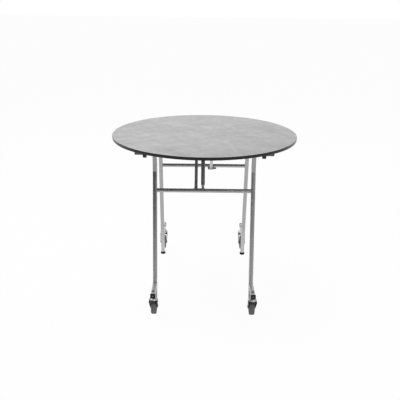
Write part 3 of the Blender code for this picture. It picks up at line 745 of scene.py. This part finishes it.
def through_bolt(half, tail):
    """A bolt along X through plates of this half width: head, washers, nut and thread end."""
    wide = BOLT_FLATS * 0.66
    neck = BOLT_FLATS * 0.44
    tall = BOLT_HEAD * 1.15
    edge = half + BOLT_WASHER
    tip = edge + tall + tail
    chamfer = 0.0008
    shaft = [(-half, BOLT_SHANK), (tip - chamfer, BOLT_SHANK), (tip, BOLT_SHANK - chamfer)]
    left = [(-edge, wide - 0.0003), (-edge + 0.0002, wide), (-half, wide), (-half, BOLT_SHANK)]
    right = [(-along, radius) for along, radius in reversed(left)]
    crown = [(edge + tall * 0.6, neck), (edge + tall - 0.0003, neck), (edge + tall, BOLT_FLATS * 0.41)]
    blanks = [turned("shaft", shaft, 32, ALONG_X)]
    blanks += [turned("washer", profile, 36, ALONG_X) for profile in (left, right)]
    collar = turned("collar", crown, 36, ALONG_X)
    blanks.append(hex_blank("head", -edge - BOLT_HEAD, -edge))
    blanks.append(hex_blank("nut", edge, edge + tall * 0.75))
    bolt = join([*blanks, collar], "bolt")
    tidy(bolt)
    return bolt


def model_screw():
    """A pan-head screw seen from below, with a cross recess."""
    pan = stations(0, (0, 4.1), (0.7, 4.3), (1.5, 4.0), (2.1, 3.3), (2.5, 2.2), (2.6, 1.0))
    screw = turned("screw", pan, 28)
    long, wide, deep, proud = 0.0023, 0.00045, 0.0012, 0.0040
    slots = [
        block("slot_long", (-long, -wide, deep), (long, wide, proud)),
        block("slot_cross", (-wide, -long, deep), (wide, long, proud)),
    ]
    combine(screw, "DIFFERENCE", slots)
    tidy(screw)
    return screw


def drive_screws(screw, name, places):
    """Screws turned up into the board at these places, each with its slot at its own angle."""
    driven = []
    for count, place in enumerate(places):
        turn = Matrix.Rotation(math.radians(37 * count + 11), 4, "Z")
        driven.append(copy_of(screw, f"{name}_{count}", moved(place) @ DOWNWARD @ turn))
    return join(driven, name)


def weld_ring(name, radius, placing):
    """A rippled weld bead round the end of a round bar."""
    bench()
    bpy.ops.mesh.primitive_torus_add(
        major_radius=radius, minor_radius=WELD_BEAD, major_segments=72, minor_segments=10
    )
    piece = started(name)
    edit(piece)
    step = math.tau / 24

    def hollow(vert):
        return abs(math.remainder(math.atan2(vert.co.y, vert.co.x), step)) > step * 0.3

    choose("verts", hollow)
    bpy.ops.transform.shrink_fatten(value=-WELD_BEAD / 5)
    bench()
    piece.data.transform(placing)
    tidy(piece, 60)
    return piece


def weld_seam(name, placing, onto=None):
    """A rippled weld bead round a square tube, laid onto a round tube where it meets one."""
    piece = square_face(name, LEG_SIDE, LEG_CORNER, placing)
    bpy.ops.mesh.delete(type="ONLY_FACE")
    choose("edges", lambda edge: edge.calc_length() > 2 * LEG_CORNER)
    bpy.ops.mesh.subdivide(number_cuts=15)
    bench()
    if onto:
        apply_step(
            piece, "SHRINKWRAP", target=onto, wrap_method="PROJECT", use_project_z=True,
            use_positive_direction=True, use_negative_direction=True,
        )
    take(piece)
    bpy.ops.object.convert(target="CURVE")
    bead = bpy.context.object
    bead.data.bevel_depth = WELD_BEAD
    bead.data.bevel_resolution = 3
    for spline in bead.data.splines:
        for count, point in enumerate(spline.points):
            point.radius = 1.0 if count % 3 else 0.80
    bpy.ops.object.convert(target="MESH")
    tidy(bpy.context.object, 60)
    return bpy.context.object


# The top


def model_leaf():
    """A half-round board with a rounded black edge band and a crisp seam."""
    bench()
    bpy.ops.mesh.primitive_cylinder_add(
        vertices=256, radius=TOP_RADIUS, depth=BOARD, location=(0, 0, TOP_HEIGHT - BOARD / 2)
    )
    leaf = started("leaf")
    edit(leaf)
    bpy.ops.mesh.bisect(
        plane_co=(0, -HALF_SEAM, 0), plane_no=(0, 1, 0), use_fill=True, clear_outer=True
    )

    def on_seam(item):
        return all(vert.co.y > -HALF_SEAM - HAIR for vert in item.verts)

    def on_rim(edge):
        return rise(edge) < HAIR and not on_seam(edge)

    def along_seam(edge):
        return rise(edge) < HAIR and on_seam(edge) and edge.calc_length() > TOP_RADIUS

    choose("edges", on_rim)
    round_edges(RIM_ROUND, 4)
    choose("edges", along_seam)
    round_edges(SEAM_ARRIS, 2)
    bench()
    lay_finishes(leaf, BAND, LAMINATE, BACKING)
    edit(leaf)
    inner = TOP_RADIUS - RIM_ROUND - 10 * HAIR
    cover_faces(leaf, 1, lambda face: face.normal.z > 0.3 and middle(face).xy.length < inner)
    cover_faces(leaf, 2, lambda face: face.normal.z < -0.9 and middle(face).xy.length < inner)
    bench()
    tidy(leaf, 30)
    return leaf


def make_top(screw):
    leaf = model_leaf()
    both_ends(leaf, "leaf_board", "board", None, "leaf", LEAF)

    flange_low = SEAT - BLOCK_FLANGE
    half = BLOCK_WIDTH / 2
    lip = half + BLOCK_COLLAR_LIP
    body = bar_disc("bearing", PIVOT, BLOCK_RADIUS, -half, half, 64)
    cheek = block(
        "cheek", (-half, PIVOT.y - BLOCK_RADIUS, PIVOT.z), (half, PIVOT.y + BLOCK_RADIUS, SEAT)
    )
    flange = block(
        "flange",
        (-half, PIVOT.y - BLOCK_FLANGE_HALF, flange_low),
        (half, PIVOT.y + BLOCK_FLANGE_HALF, SEAT),
    )
    collar = bar_disc("collar", PIVOT, BLOCK_COLLAR, -lip, lip, 64)
    body = wrapped("bearing", [body, cheek])
    combine(body, "UNION", [flange, collar])
    bore = bar_disc("bore", PIVOT, TUBE_RADIUS + SEAT_GAP, -2 * BLOCK_WIDTH, 2 * BLOCK_WIDTH, 64)
    combine(body, "DIFFERENCE", [bore])
    soften(body, 0.0006)
    tidy(body)
    spread(body, "bearing_block", "black", PLASTIC, "pivot_block", BLOCK_X, LEAF)
    places = [(0, PIVOT.y + way * BLOCK_SCREW_REACH, flange_low) for way in (-1, 1)]
    screws = drive_screws(screw, "block_screws", places)
    spread(screws, "block_screws", "zinc", ZINC, None, BLOCK_X, LEAF)


# The leg frames


def model_leg(tube):
    """Square tube drawn down from the pivot tube, bent and splayed to the foot."""
    leg = square_face("leg", LEG_SIDE, LEG_CORNER, moved(PIVOT))
    start = BEND_HEIGHT + BEND_RADIUS * math.tan(SPLAY / 2)
    push(0, 0, start - PIVOT.z)
    bpy.ops.mesh.spin(
        steps=10, angle=SPLAY, center=(0, PIVOT.y - BEND_RADIUS, start), axis=(1, 0, 0)
    )
    push(0, -math.sin(SPLAY) * LEG_RUN, -math.cos(SPLAY) * LEG_RUN)
    select_all()
    bpy.ops.mesh.bisect(
        plane_co=(0, 0, FOOT_HEIGHT + SEAT_GAP), plane_no=(0, 0, 1), use_fill=True, clear_inner=True
    )
    face_out()
    bench()
    combine(leg, "DIFFERENCE", [copy_of(tube, "saddle", FRONT)])
    tidy(leg)
    return leg


def make_frames():
    flank = [(-TUBE_HALF, TUBE_RADIUS - 0.0008), (-TUBE_HALF + 0.0006, TUBE_RADIUS)]
    tube = turned("tube", mirrored(flank), 64, moved(PIVOT) @ ALONG_X)
    leg = model_leg(tube)
    seam = weld_seam("leg_weld", moved(PIVOT - Vector((0, 0, LEG_WELD_DROP))), tube)
    spread(leg, "leg_tube", "steel", CHROME, "leg")
    spread(seam, "leg_weld", "steel", WELD)
    both_ends(tube, "pivot_bar", "dark_steel", PAINT, "pivot_tube")
    make_plugs()
    make_feet()
    make_crossbars()
    make_outriggers()


def make_plugs():
    profile = stations(
        TUBE_HALF + SEAT_GAP, (-10.0, 10.0), (0, 10.4), (0, 12.3), (1.2, 12.3), (1.9, 11.5),
        (2.2, 9.5), (2.2, 5.8), (1.6, 5.2), (1.6, 1.0),
    )
    plug = turned("plug", profile, 48, ALONG_X)
    for end, hand, placing in corners(0):
        way = FRONT if (hand == "right") == (end == "front") else REAR
        twin = copy_of(plug, f"{end}_end_plug_{hand}", placing @ moved(PIVOT) @ way)
        fit(twin, f"{end}_frame", "black", PLASTIC, f"{end}_tube_plug_{hand}")
    put_away(plug)


def make_feet():
    """Rubber feet with a groove round them."""
    profile = stations(
        0, (0, 10.2), (0.5, 11.6), (1.6, 12.7), (4.0, 13.0), (4.6, 12.4), (5.4, 12.4), (6.0, 13.0),
        (9.6, 12.8), (11.2, 12.2), (12.0, 10.8),
    )
    foot = turned("foot", profile, 48, moved((0, leg_centre(FOOT_HEIGHT).y, 0)))
    spread(foot, "rubber_foot", "rubber", RUBBER, "foot")


def make_crossbars():
    reach = LEG_X - LEG_SIDE / 2 - SEAT_GAP
    along = moved(CROSSBAR) @ ALONG_X
    crossbar = turned("crossbar", mirrored([(-reach, CROSSBAR_RADIUS)]), 56, along)
    both_ends(crossbar, "cross_tube", "steel", BAR_CHROME, "crossbar")
    welds = []
    for side in (-1, 1):
        place = (side * (reach + 0.0002), CROSSBAR.y, CROSSBAR.z)
        welds.append(weld_ring("bar_weld", CROSSBAR_RADIUS + SEAT_GAP, moved(place) @ ALONG_X))
    both_ends(join(welds, "bar_weld"), "crossbar_weld", "steel", WELD)


def make_outriggers():
    front_face = Vector((0, -math.cos(SPLAY), math.sin(SPLAY)))
    contact = OUTRIGGER_ROOT + front_face * (LEG_SIDE / 2 + SEAT_GAP)
    arm = square_face("arm", LEG_SIDE, LEG_CORNER, across(OUTRIGGER_ROOT, OUTWARD))
    push(*(OUTWARD * OUTRIGGER_LENGTH))
    select_all()
    bpy.ops.mesh.bisect(plane_co=contact, plane_no=front_face, use_fill=True, clear_inner=True)
    bench()
    tidy(arm)
    spread(arm, "outrigger_tube", "steel", ARM_CHROME, "outrigger")
    skew = math.cos(SPLAY - OUTRIGGER_RISE)
    root = OUTRIGGER_ROOT + OUTWARD * (LEG_SIDE / 2 + SEAT_GAP) / skew
    seam = weld_seam("arm_weld", across(root, front_face))
    spread(seam, "outrigger_weld", "steel", WELD)

    end = across(OUTRIGGER_END + OUTWARD * SEAT_GAP, OUTWARD)
    cap = square_face("cap", CAP_SIDE, CAP_CORNER, end, 5)
    push(*(OUTWARD * CAP_DEPTH))
    face_out()
    choose("faces", lambda face: face.normal.dot(OUTWARD) > 0.99)
    bpy.ops.mesh.inset(thickness=CAP_RIM, depth=0)
    bpy.ops.mesh.inset(thickness=0.0005, depth=-0.0006)
    bench()
    soften(cap, 0.0007, 3)
    tidy(cap)
    spread(cap, "end_cap", "black", PLASTIC, "outrigger_cap")
    dome = stations(0, (0, 2.6), (0.6, 2.6), (1.1, 2.2), (1.4, 1.5), (1.5, 0.7))
    stud = turned("stud", dome, 32, across(OUTRIGGER_END + OUTWARD * CAP_STUD_SEAT, OUTWARD))
    spread(stud, "cap_stud", "zinc", CORE)


# The castors


def make_castors():
    """Stems with their swivel heads and covers, forks, axles and wheels."""
    bell = stations(
        0, (-2.0, 5.0), (0.3, 5.0), (0.3, 9.6), (0.9, 10.2), (8.8, 10.2), (9.6, 9.7), (10.0, 10.8),
        (10.6, 13.0), (11.8, 15.5), (13.6, 17.8), (16.0, 19.4), (18.2, 20.0), (18.8, 19.9),
        (19.1, 19.2), (19.2, 15.0), (22.0, 15.0), (22.0, 5.0), (25.8, 5.0), (25.8, 7.8),
        (27.6, 8.0), (28.4, 7.0),
    )
    stem = turned("stem", bell, 56, CASTOR @ DOWNWARD)
    spread(stem, "swivel_head", "zinc", ZINC, "castor_stem")
    dome = stations(
        0, (0, 7.5), (1.0, 7.5), (1.1, 6.2), (2.8, 6.0), (4.2, 5.0), (5.3, 3.4), (5.8, 1.4)
    )
    cover = turned("cover", dome, 40, CASTOR @ moved((0, 0, LEG_SIDE)))
    spread(cover, "stem_cover", "dark_steel", CORE)

    axle = Vector((0, TRAIL, -DROP))
    fork = model_fork(axle)
    body = "{end}_{hand}_castor"
    spread(fork, "pressed_fork", "black", ENAMEL, "castor_fork", body=body)
    flank = stations(
        -FORK_OUTER, (-2.2, 2.0), (-2.0, 3.6), (-1.3, 5.2), (-0.4, 6.0), (-0.1, 6.0), (-0.1, 4.0)
    )
    pin = turned("axle", mirrored(flank), 40, CASTOR @ moved(axle) @ ALONG_X)
    spread(pin, "axle_rivet", "zinc", ENAMEL, "castor_axle", body=body)
    wheel = model_wheel()
    wheel.data.transform(CASTOR @ moved(axle))
    spread(wheel, "tyred_wheel", "wheel", None, "castor_wheel", body="{end}_{hand}_wheel")


def model_fork(axle):
    """A pressed fork: a block drawn from the crown to the eyes, with its throat cut out."""
    eye = bar_disc("fork_eye", axle, FORK_EYE, -FORK_OUTER, FORK_OUTER, 40)
    crown = block(
        "fork_crown",
        (-FORK_CROWN, -FORK_CROWN_REACH, -FORK_TOP - FORK_CROWN_DEPTH),
        (FORK_CROWN, FORK_CROWN_REACH, -FORK_TOP),
    )
    fork = wrapped("fork", [eye, crown])
    soften(fork, 0.0014, 3)
    wall = FORK_OUTER - FORK_INNER
    roof = -FORK_TOP - wall
    shoulder = FORK_CROWN - wall
    before, behind = -0.05, 0.06
    low = block("throat_low", (-FORK_INNER, before, -DROP - 0.02), (FORK_INNER, behind, -DROP))
    high = block("throat_high", (-shoulder, before, roof - 0.003), (shoulder, behind, roof))
    throat = wrapped("throat", [low, high])
    edit(throat)

    def roof_edge(edge):
        at_roof = all(vert.co.z > roof - 100 * HAIR for vert in edge.verts)
        return at_roof and abs(middle(edge).x) > FORK_EYE and edge.calc_length() > behind / 2

    choose("edges", roof_edge)
    round_edges(0.0016, 4)
    bench()
    combine(fork, "DIFFERENCE", [throat])
    fork.data.transform(CASTOR)
    tidy(fork)
    return fork


def model_wheel():
    """Tyre with two grooves on a ribbed core."""
    flank = stations(
        0, (-13.1, 8.5), (-13.1, 10.2), (-12.5, 11.0), (-7.8, 11.8), (-7.4, 12.6), (-7.4, 22.8),
        (-7.8, 24.0), (-11.0, 25.2), (-11.6, 26.2), (-11.6, 27.4), (-12.0, 28.0), (-12.0, 32.2),
        (-11.6, 34.0), (-10.6, 35.6), (-9.0, 36.7), (-7.0, 37.3), (-4.7, 37.5), (-4.3, 36.7),
        (-3.4, 36.7), (-3.0, 37.5),
    )
    hub, web, core = 0.0130, 0.0226, 0.0272
    wheel = turned("wheel", mirrored(flank), 72, ALONG_X)
    lay_finishes(wheel, TREAD, CORE)
    edit(wheel)
    sector = math.tau / SPOKES

    def in_pocket(face):
        place = middle(face)
        turn = abs(math.remainder(math.atan2(place.z, place.y), sector))
        return abs(face.normal.x) > 0.99 and hub < place.yz.length < web and turn < sector * 0.36

    choose("faces", in_pocket)
    bpy.ops.mesh.inset(thickness=0.0007, depth=0)
    bpy.ops.mesh.inset(thickness=0.0006, depth=-0.0028)
    cover_faces(wheel, 1, lambda face: middle(face).yz.length < core)
    bench()
    tidy(wheel, 32)
    return wheel


# Centre hinge, links and gas spring


def make_hinges(screw):
    low_face = SEAT - EAR
    plate = block("plate", (-HINGE_HALF, HINGE_FAR, low_face), (HINGE_HALF, HINGE_NEAR, SEAT))
    round_plate(plate)
    high = -SIDE_GAP / 2
    low = high - HINGE_EAR
    boss = bar_disc("boss", HINGE, BOSS_RADIUS, low, high, 48)
    foot = block("foot", (low, HINGE_EAR_FAR, low_face), (high, HINGE_NEAR, SEAT - EAR / 2))
    combine(plate, "UNION", [wrapped("ear", [boss, foot])])
    soften(plate, 0.0005)
    tidy(plate)
    spread(plate, "hinge_leaf", "zinc", ZINC, "hinge", HINGE_X, LEAF)
    places = [(x, y, low_face) for x in (-0.0145, 0.0145) for y in (-0.0135, -0.0435)]
    screws = drive_screws(screw, "hinge_screws", places)
    spread(screws, "hinge_screws", "zinc", ZINC, None, HINGE_X, LEAF)
    flank = stations(
        -HINGE_SHOULDER, (-3.4, 2.2), (-3.0, 4.2), (-1.9, 5.8), (-0.6, 6.5), (0, 6.5), (0, 4.0)
    )
    pin = turned("pin", mirrored(flank), 40, moved(HINGE) @ ALONG_X)
    for hand, side in HANDS:
        twin = copy_of(pin, f"hinge_rivet_{hand}", moved((side * HINGE_X, 0, 0)))
        fit(twin, "rear_leaf_group", "zinc", ZINC, f"hinge_pin_{hand}")
    put_away(pin)


def ear_spans(x, width):
    """The two ears beside an eye, each from its lower to its higher X."""
    for side in (-1, 1):
        yield sorted((x + side * (width / 2 + SIDE_GAP), x + side * (width / 2 + EAR_REACH)))


def eyes_span(eyes, margin):
    """From the lowest to the highest X of all ears, with a margin."""
    low = min(x - width / 2 for x, width, pivot in eyes) - EAR_REACH - margin
    high = max(x + width / 2 for x, width, pivot in eyes) + EAR_REACH + margin
    return low, high


def model_lug(eyes):
    """A saddle behind the crossbar with two ears for each eye of (x, width, pivot)."""
    reach = CROSSBAR_RADIUS + LUG_WALL
    wall = LUG_WALL - SEAT_GAP
    low, high = eyes_span(eyes, LUG_LIP)
    bench()
    bpy.ops.mesh.primitive_plane_add(size=1, rotation=(math.pi / 2, 0, 0))
    bpy.context.object.scale = (high - low, wall, 1)
    bpy.context.object.location = ((low + high) / 2, CROSSBAR.y, CROSSBAR.z - reach + wall / 2)
    saddle = started("lug")
    saddle.data.transform(
        moved(CROSSBAR) @ Matrix.Rotation(LUG_START, 4, "X") @ moved(-CROSSBAR)
    )
    edit(saddle)
    bpy.ops.mesh.spin(steps=12, angle=-LUG_SWEEP, center=CROSSBAR, axis=(1, 0, 0))
    face_out()
    bench()
    soften(saddle, 0.0004)
    ears = []
    for x, width, pivot in eyes:
        for near, far in ear_spans(x, width):
            boss = bar_disc("boss", LUG_PIVOT, LUG_BOSS, near, far, 48)
            back = bar_disc("back", CROSSBAR, CROSSBAR_RADIUS, near, far, 48)
            ear = wrapped("ear", [boss, back])
            edit(ear)
            bpy.ops.mesh.bisect(plane_co=CROSSBAR, plane_no=(0, 1, 0), use_fill=True, clear_inner=True)
            bench()
            hollow = bar_disc("hollow", CROSSBAR, CROSSBAR_RADIUS + SEAT_GAP / 2, low, high, 64)
            combine(ear, "DIFFERENCE", [hollow])
            soften(ear, 0.0004)
            ears.append(ear)
    combine(saddle, "UNION", ears)
    tidy(saddle)
    return saddle


def model_anchor(eyes):
    """A plate under the far board with two ears for each eye of (x, width, pivot)."""
    low_face = SEAT - EAR
    low, high = eyes_span(eyes, ANCHOR_MARGIN)
    near_edge = max(min(pivot.y for x, width, pivot in eyes) - ANCHOR_FOOT, -HINGE_NEAR)
    far_edge = max(pivot.y for x, width, pivot in eyes) + ANCHOR_FOOT + ANCHOR_MARGIN
    plate = block("anchor", (low, near_edge, low_face), (high, far_edge, SEAT))
    round_plate(plate)
    ears = []
    for x, width, pivot in eyes:
        foot_near = max(pivot.y - ANCHOR_FOOT, near_edge + 0.001)
        for near, far in ear_spans(x, width):
            boss = bar_disc("boss", pivot, BOSS_RADIUS, near, far, 48)
            foot = block(
                "foot", (near, foot_near, low_face), (far, pivot.y + ANCHOR_FOOT, SEAT - EAR / 2)
            )
            ears.append(wrapped("ear", [boss, foot]))
    combine(plate, "UNION", ears)
    soften(plate, 0.0005)
    tidy(plate)
    return plate


def model_link():
    """A flat bar with a barrel eye at each end."""
    length = (LUG_PIVOT - LINK_PIVOT).length
    half = LINK_WIDTH / 2
    bar = block("link", (-half, -LINK_HALF_THICK, -length), (half, LINK_HALF_THICK, 0))
    ends = (Vector((0, 0, 0)), Vector((0, 0, -length)))
    combine(bar, "UNION", [bar_disc("eye", place, EYE_RADIUS, -half, half, 48) for place in ends])
    soften(bar, 0.0008, 3)
    bar.data.transform(moved((LINK_X, *LINK_PIVOT.yz)) @ lean(LINK_PIVOT, LUG_PIVOT))
    tidy(bar)
    return bar


def place_piece(piece, name, turn, body, slot, finish, *nodes):
    """Turns a single piece to its end of the table and fastens it."""
    piece.data.transform(turn)
    fit(named(piece, name), body, slot, finish, *nodes)


def make_links(screw):
    link_eye = (LINK_X, LINK_WIDTH, LINK_PIVOT)
    gas_eye = (GAS_X, GAS_EYE_WIDTH, GAS_PIVOT)
    sets = (
        ("front", "rear", FRONT, [link_eye, gas_eye], BOLT_TAIL, GAS_X + 0.0085, 0.0120),
        ("rear", "front", REAR, [link_eye], REAR_BOLT_TAIL, -0.0255, 0.0620),
    )
    for end, far, turn, eyes, tail, screw_right, screw_near in sets:
        frame_body, leaf_body = f"{end}_frame", f"{far}_leaf_group"
        lug = model_lug(eyes)
        place_piece(lug, f"{end}_link_lug", turn, frame_body, "zinc", ZINC, f"{end}_crossbar_lug")
        anchor = model_anchor(eyes)
        place_piece(anchor, f"{far}_link_anchor", turn, leaf_body, "zinc", ZINC, f"{far}_leaf_anchor")
        lug_bolts, anchor_bolts = [], []
        for x, width, pivot in eyes:
            bolt = through_bolt(width / 2 + EAR_REACH, tail)
            bolt.data.transform(turn @ moved((x, *LUG_PIVOT.yz)) @ turn)
            lug_bolts.append(bolt)
            bolt = through_bolt(width / 2 + EAR_REACH, BOLT_TAIL)
            bolt.data.transform(turn @ moved((x, *pivot.yz)))
            anchor_bolts.append(bolt)
        fit(join(lug_bolts, f"{end}_lug_bolts"), frame_body, "dark_steel", PAINT)
        fit(join(anchor_bolts, f"{far}_anchor_bolts"), leaf_body, "zinc", ZINC)
        places = [(x, y, SEAT - EAR) for x in (-0.0465, screw_right) for y in (screw_near, 0.0870)]
        screws = drive_screws(screw, "anchor_screws", places)
        place_piece(screws, f"{far}_anchor_screws", turn, leaf_body, "zinc", ZINC)
    both_ends(model_link(), "link_strap", "steel", ARM_CHROME, "link", "{end}_link_bar")


def strut_eye(place, half_thick, neck_low, neck_high):
    """A flat eye with a neck that runs into the gas spring."""
    half = GAS_EYE_WIDTH / 2
    disc = bar_disc("eye_disc", place, EYE_RADIUS, -half, half, 40)
    neck = block("eye_neck", (-half, -half_thick, neck_low), (half, half_thick, neck_high))
    return wrapped("eye", [disc, neck])


def make_gas_spring():
    length = (LUG_PIVOT - GAS_PIVOT).length
    placing = moved((GAS_X, *GAS_PIVOT.yz)) @ lean(GAS_PIVOT, LUG_PIVOT) @ DOWNWARD
    fitting = length - GAS_FITTING
    mouth = fitting - GAS_MOUTH_GAP
    tail = stations(0, (12.0, 4.5), (16.0, 6.2), (16.6, 8.3), (17.6, 9.0))
    nose = stations(
        mouth, (-7.5, 9.0), (-6.2, 8.4), (-5.2, 8.4), (-4.0, 9.0), (-1.4, 8.9), (-0.3, 7.9), (0, 6.5)
    )
    cylinder = turned("cylinder", tail + nose, 48)
    combine(cylinder, "UNION", [strut_eye(Vector((0, 0, 0)), 0.0058, 0.0120, 0.0165)])
    bore_radius = ROD_RADIUS + SEAT_GAP
    bore = turned("bore", [(mouth - 0.165, bore_radius), (length, bore_radius)], 40)
    combine(cylinder, "DIFFERENCE", [bore])
    soften(cylinder, 0.0004, 2, 50)
    cylinder.data.transform(placing)
    tidy(cylinder)
    named(cylinder, "gas_strut_body")
    fit(cylinder, "gas_body", "dark_steel", STRUT_PAINT, "gas_cylinder")

    rod = stations(mouth, (-150.0, 3.4), (-149.4, 4.0))
    rod += stations(fitting, (0, 4.0), (0, 6.0), (0.6, 6.5))
    rod += stations(length, (-20.0, 6.5), (-18.0, 6.2), (-16.0, 5.6))
    piston = turned("piston", rod, 48)
    end = Vector((0, 0, length))
    combine(piston, "UNION", [strut_eye(end, 0.0055, length - 0.0175, length - 0.0140)])
    soften(piston, 0.0004, 2, 50)
    lay_finishes(piston, ROD, ZINC)
    edit(piston)
    cover_faces(piston, 1, lambda face: middle(face).z > fitting - 10 * HAIR)
    bench()
    piston.data.transform(placing)
    tidy(piston)
    named(piston, "gas_strut_rod")
    fit(piston, "gas_piston", "steel", None, "gas_rod")


screw = model_screw()
make_top(screw)
make_frames()
make_castors()
make_hinges(screw)
make_links(screw)
make_gas_spring()
put_away(screw)


# Stage: white floor, soft light and the photograph's camera
FLOOR_SIZE = 60
FLOOR_GLOW = 0.96
ROOM_LIGHT = 0.50
FLAG_RADIUS = 6.0
FLAG_TALL = 9.0
FLAG_MIDDLE = 4.45
RUNNER_PLACE = (0, -1.9, 0.002)
RUNNER_SIZE = (3.0, 1.2, 1.0)
CAMERA_PLACE = (-0.0175, -2.712, 1.379)
CAMERA_DIP = math.radians(19.5)
CAMERA_ROLL = math.radians(0.61)
SENSOR_WIDTH = 36.0
LENS = 53.60


def bare_tree(owner):
    """The emptied node tree of a new material or world."""
    owner.use_nodes = True
    owner.node_tree.nodes.clear()
    return owner.node_tree


def seen_white(tree):
    """One for the rays that show the background: straight, mirrored or passed through."""
    path = node(tree, "ShaderNodeLightPath").outputs
    seen = maths(tree, "MAXIMUM", path["Is Camera Ray"], path["Is Glossy Ray"])
    return maths(tree, "MAXIMUM", seen, path["Is Transmission Ray"])


def mixed(tree, share, under, upper):
    """One shader laid over another by a share."""
    mix = node(tree, "ShaderNodeMixShader")
    for socket, value in zip(mix.inputs, (share, under.outputs[0], upper.outputs[0])):
        feed(tree, socket, value)
    return mix.outputs[0]


def lay_floor():
    """A white sweep that keeps a faint shadow."""
    bench()
    bpy.ops.mesh.primitive_plane_add(size=FLOOR_SIZE)
    floor = started("studio_floor")
    finish = bpy.data.materials.new("white sweep")
    tree = bare_tree(finish)
    matt = node(tree, "ShaderNodeBsdfDiffuse", Color=colour(0.90))
    glow = node(tree, "ShaderNodeEmission", Color=colour(1), Strength=1.0)
    share = maths(tree, "MULTIPLY", seen_white(tree), FLOOR_GLOW)
    node(tree, "ShaderNodeOutputMaterial", Surface=mixed(tree, share, matt, glow))
    floor.data.materials.append(finish)


def light_room():
    """Even light from all round, white where it is seen."""
    world = bpy.data.worlds.new("white room")
    tree = bare_tree(world)
    room = node(tree, "ShaderNodeBackground", Color=colour(1), Strength=ROOM_LIGHT)
    white = node(tree, "ShaderNodeBackground", Color=colour(1), Strength=1.0)
    node(tree, "ShaderNodeOutputWorld", Surface=mixed(tree, seen_white(tree), room, white))
    bpy.context.scene.world = world


def hang_flag():
    """Dark cloths behind and below the camera, seen only in the metal."""
    bench()
    bpy.ops.mesh.primitive_cylinder_add(
        vertices=64, radius=FLAG_RADIUS, depth=FLAG_TALL, end_fill_type="NOTHING",
        location=(0, 0, FLAG_MIDDLE),
    )
    flag = started("dark_flag")
    edit(flag)
    bpy.ops.mesh.bisect(plane_co=(0, 1.0, 0), plane_no=(0, 1, 0), clear_outer=True)
    bench()
    dark_cloth(flag, -0.2, 0.075, 0.8, 0.43)
    bpy.ops.mesh.primitive_plane_add(size=1.0, location=RUNNER_PLACE)
    bpy.context.object.scale = RUNNER_SIZE
    runner = started("dark_runner")
    bench()
    dark_cloth(runner, -0.5, 0.46, 0.5, 0.54)


def dark_cloth(cloth, left, dark, right, light):
    """A cloth that shows in the metal only, lighter towards the right."""
    finish = bpy.data.materials.new("dark cloth")
    tree = bare_tree(finish)
    node(tree, "ShaderNodeTexCoord")
    aside = node(tree, "ShaderNodeSeparateXYZ", Vector=where(tree)).outputs["X"]
    fold = node(tree, "ShaderNodeMapRange", Value=aside, From_Min=left, From_Max=right)
    tone = shades(tree, fold.outputs[0], (0.0, dark), (1.0, light))
    glow = node(tree, "ShaderNodeEmission", Color=tone)
    node(tree, "ShaderNodeOutputMaterial", Surface=glow.outputs[0])
    cloth.data.materials.append(finish)
    cloth.visible_camera = False
    cloth.visible_diffuse = False
    cloth.visible_transmission = False
    cloth.visible_shadow = False


def add_lamp(name, place, target, size, power):
    lamp = bpy.data.lights.new(name, "AREA")
    lamp.shape = "DISK"
    lamp.size = size
    lamp.energy = power
    stand = bpy.data.objects.new(name, lamp)
    way = Vector(target) - Vector(place)
    stand.matrix_world = moved(place) @ way.to_track_quat("-Z", "Y").to_matrix().to_4x4()
    bpy.context.scene.collection.objects.link(stand)


def set_camera():
    camera = bpy.data.cameras.new("camera")
    camera.sensor_width = SENSOR_WIDTH
    camera.lens = LENS
    camera.clip_end = 200.0
    stand = bpy.data.objects.new("camera", camera)
    aim = Matrix.Rotation(math.pi / 2 - CAMERA_DIP, 4, "X")
    level = Matrix.Rotation(CAMERA_ROLL, 4, "Z")
    stand.matrix_world = moved(CAMERA_PLACE) @ aim @ level
    bpy.context.scene.collection.objects.link(stand)
    bpy.context.scene.camera = stand


lay_floor()
light_room()
hang_flag()
add_lamp("overhead_softbox", (-0.9, 0.7, 3.4), target=(0, 0, 0.6), size=2.4, power=62)
add_lamp("camera_side_softbox", (1.6, -3.0, 2.2), target=(0, 0, 0.4), size=1.8, power=26)
set_camera()
bpy.context.scene.view_settings.view_transform = "Standard"
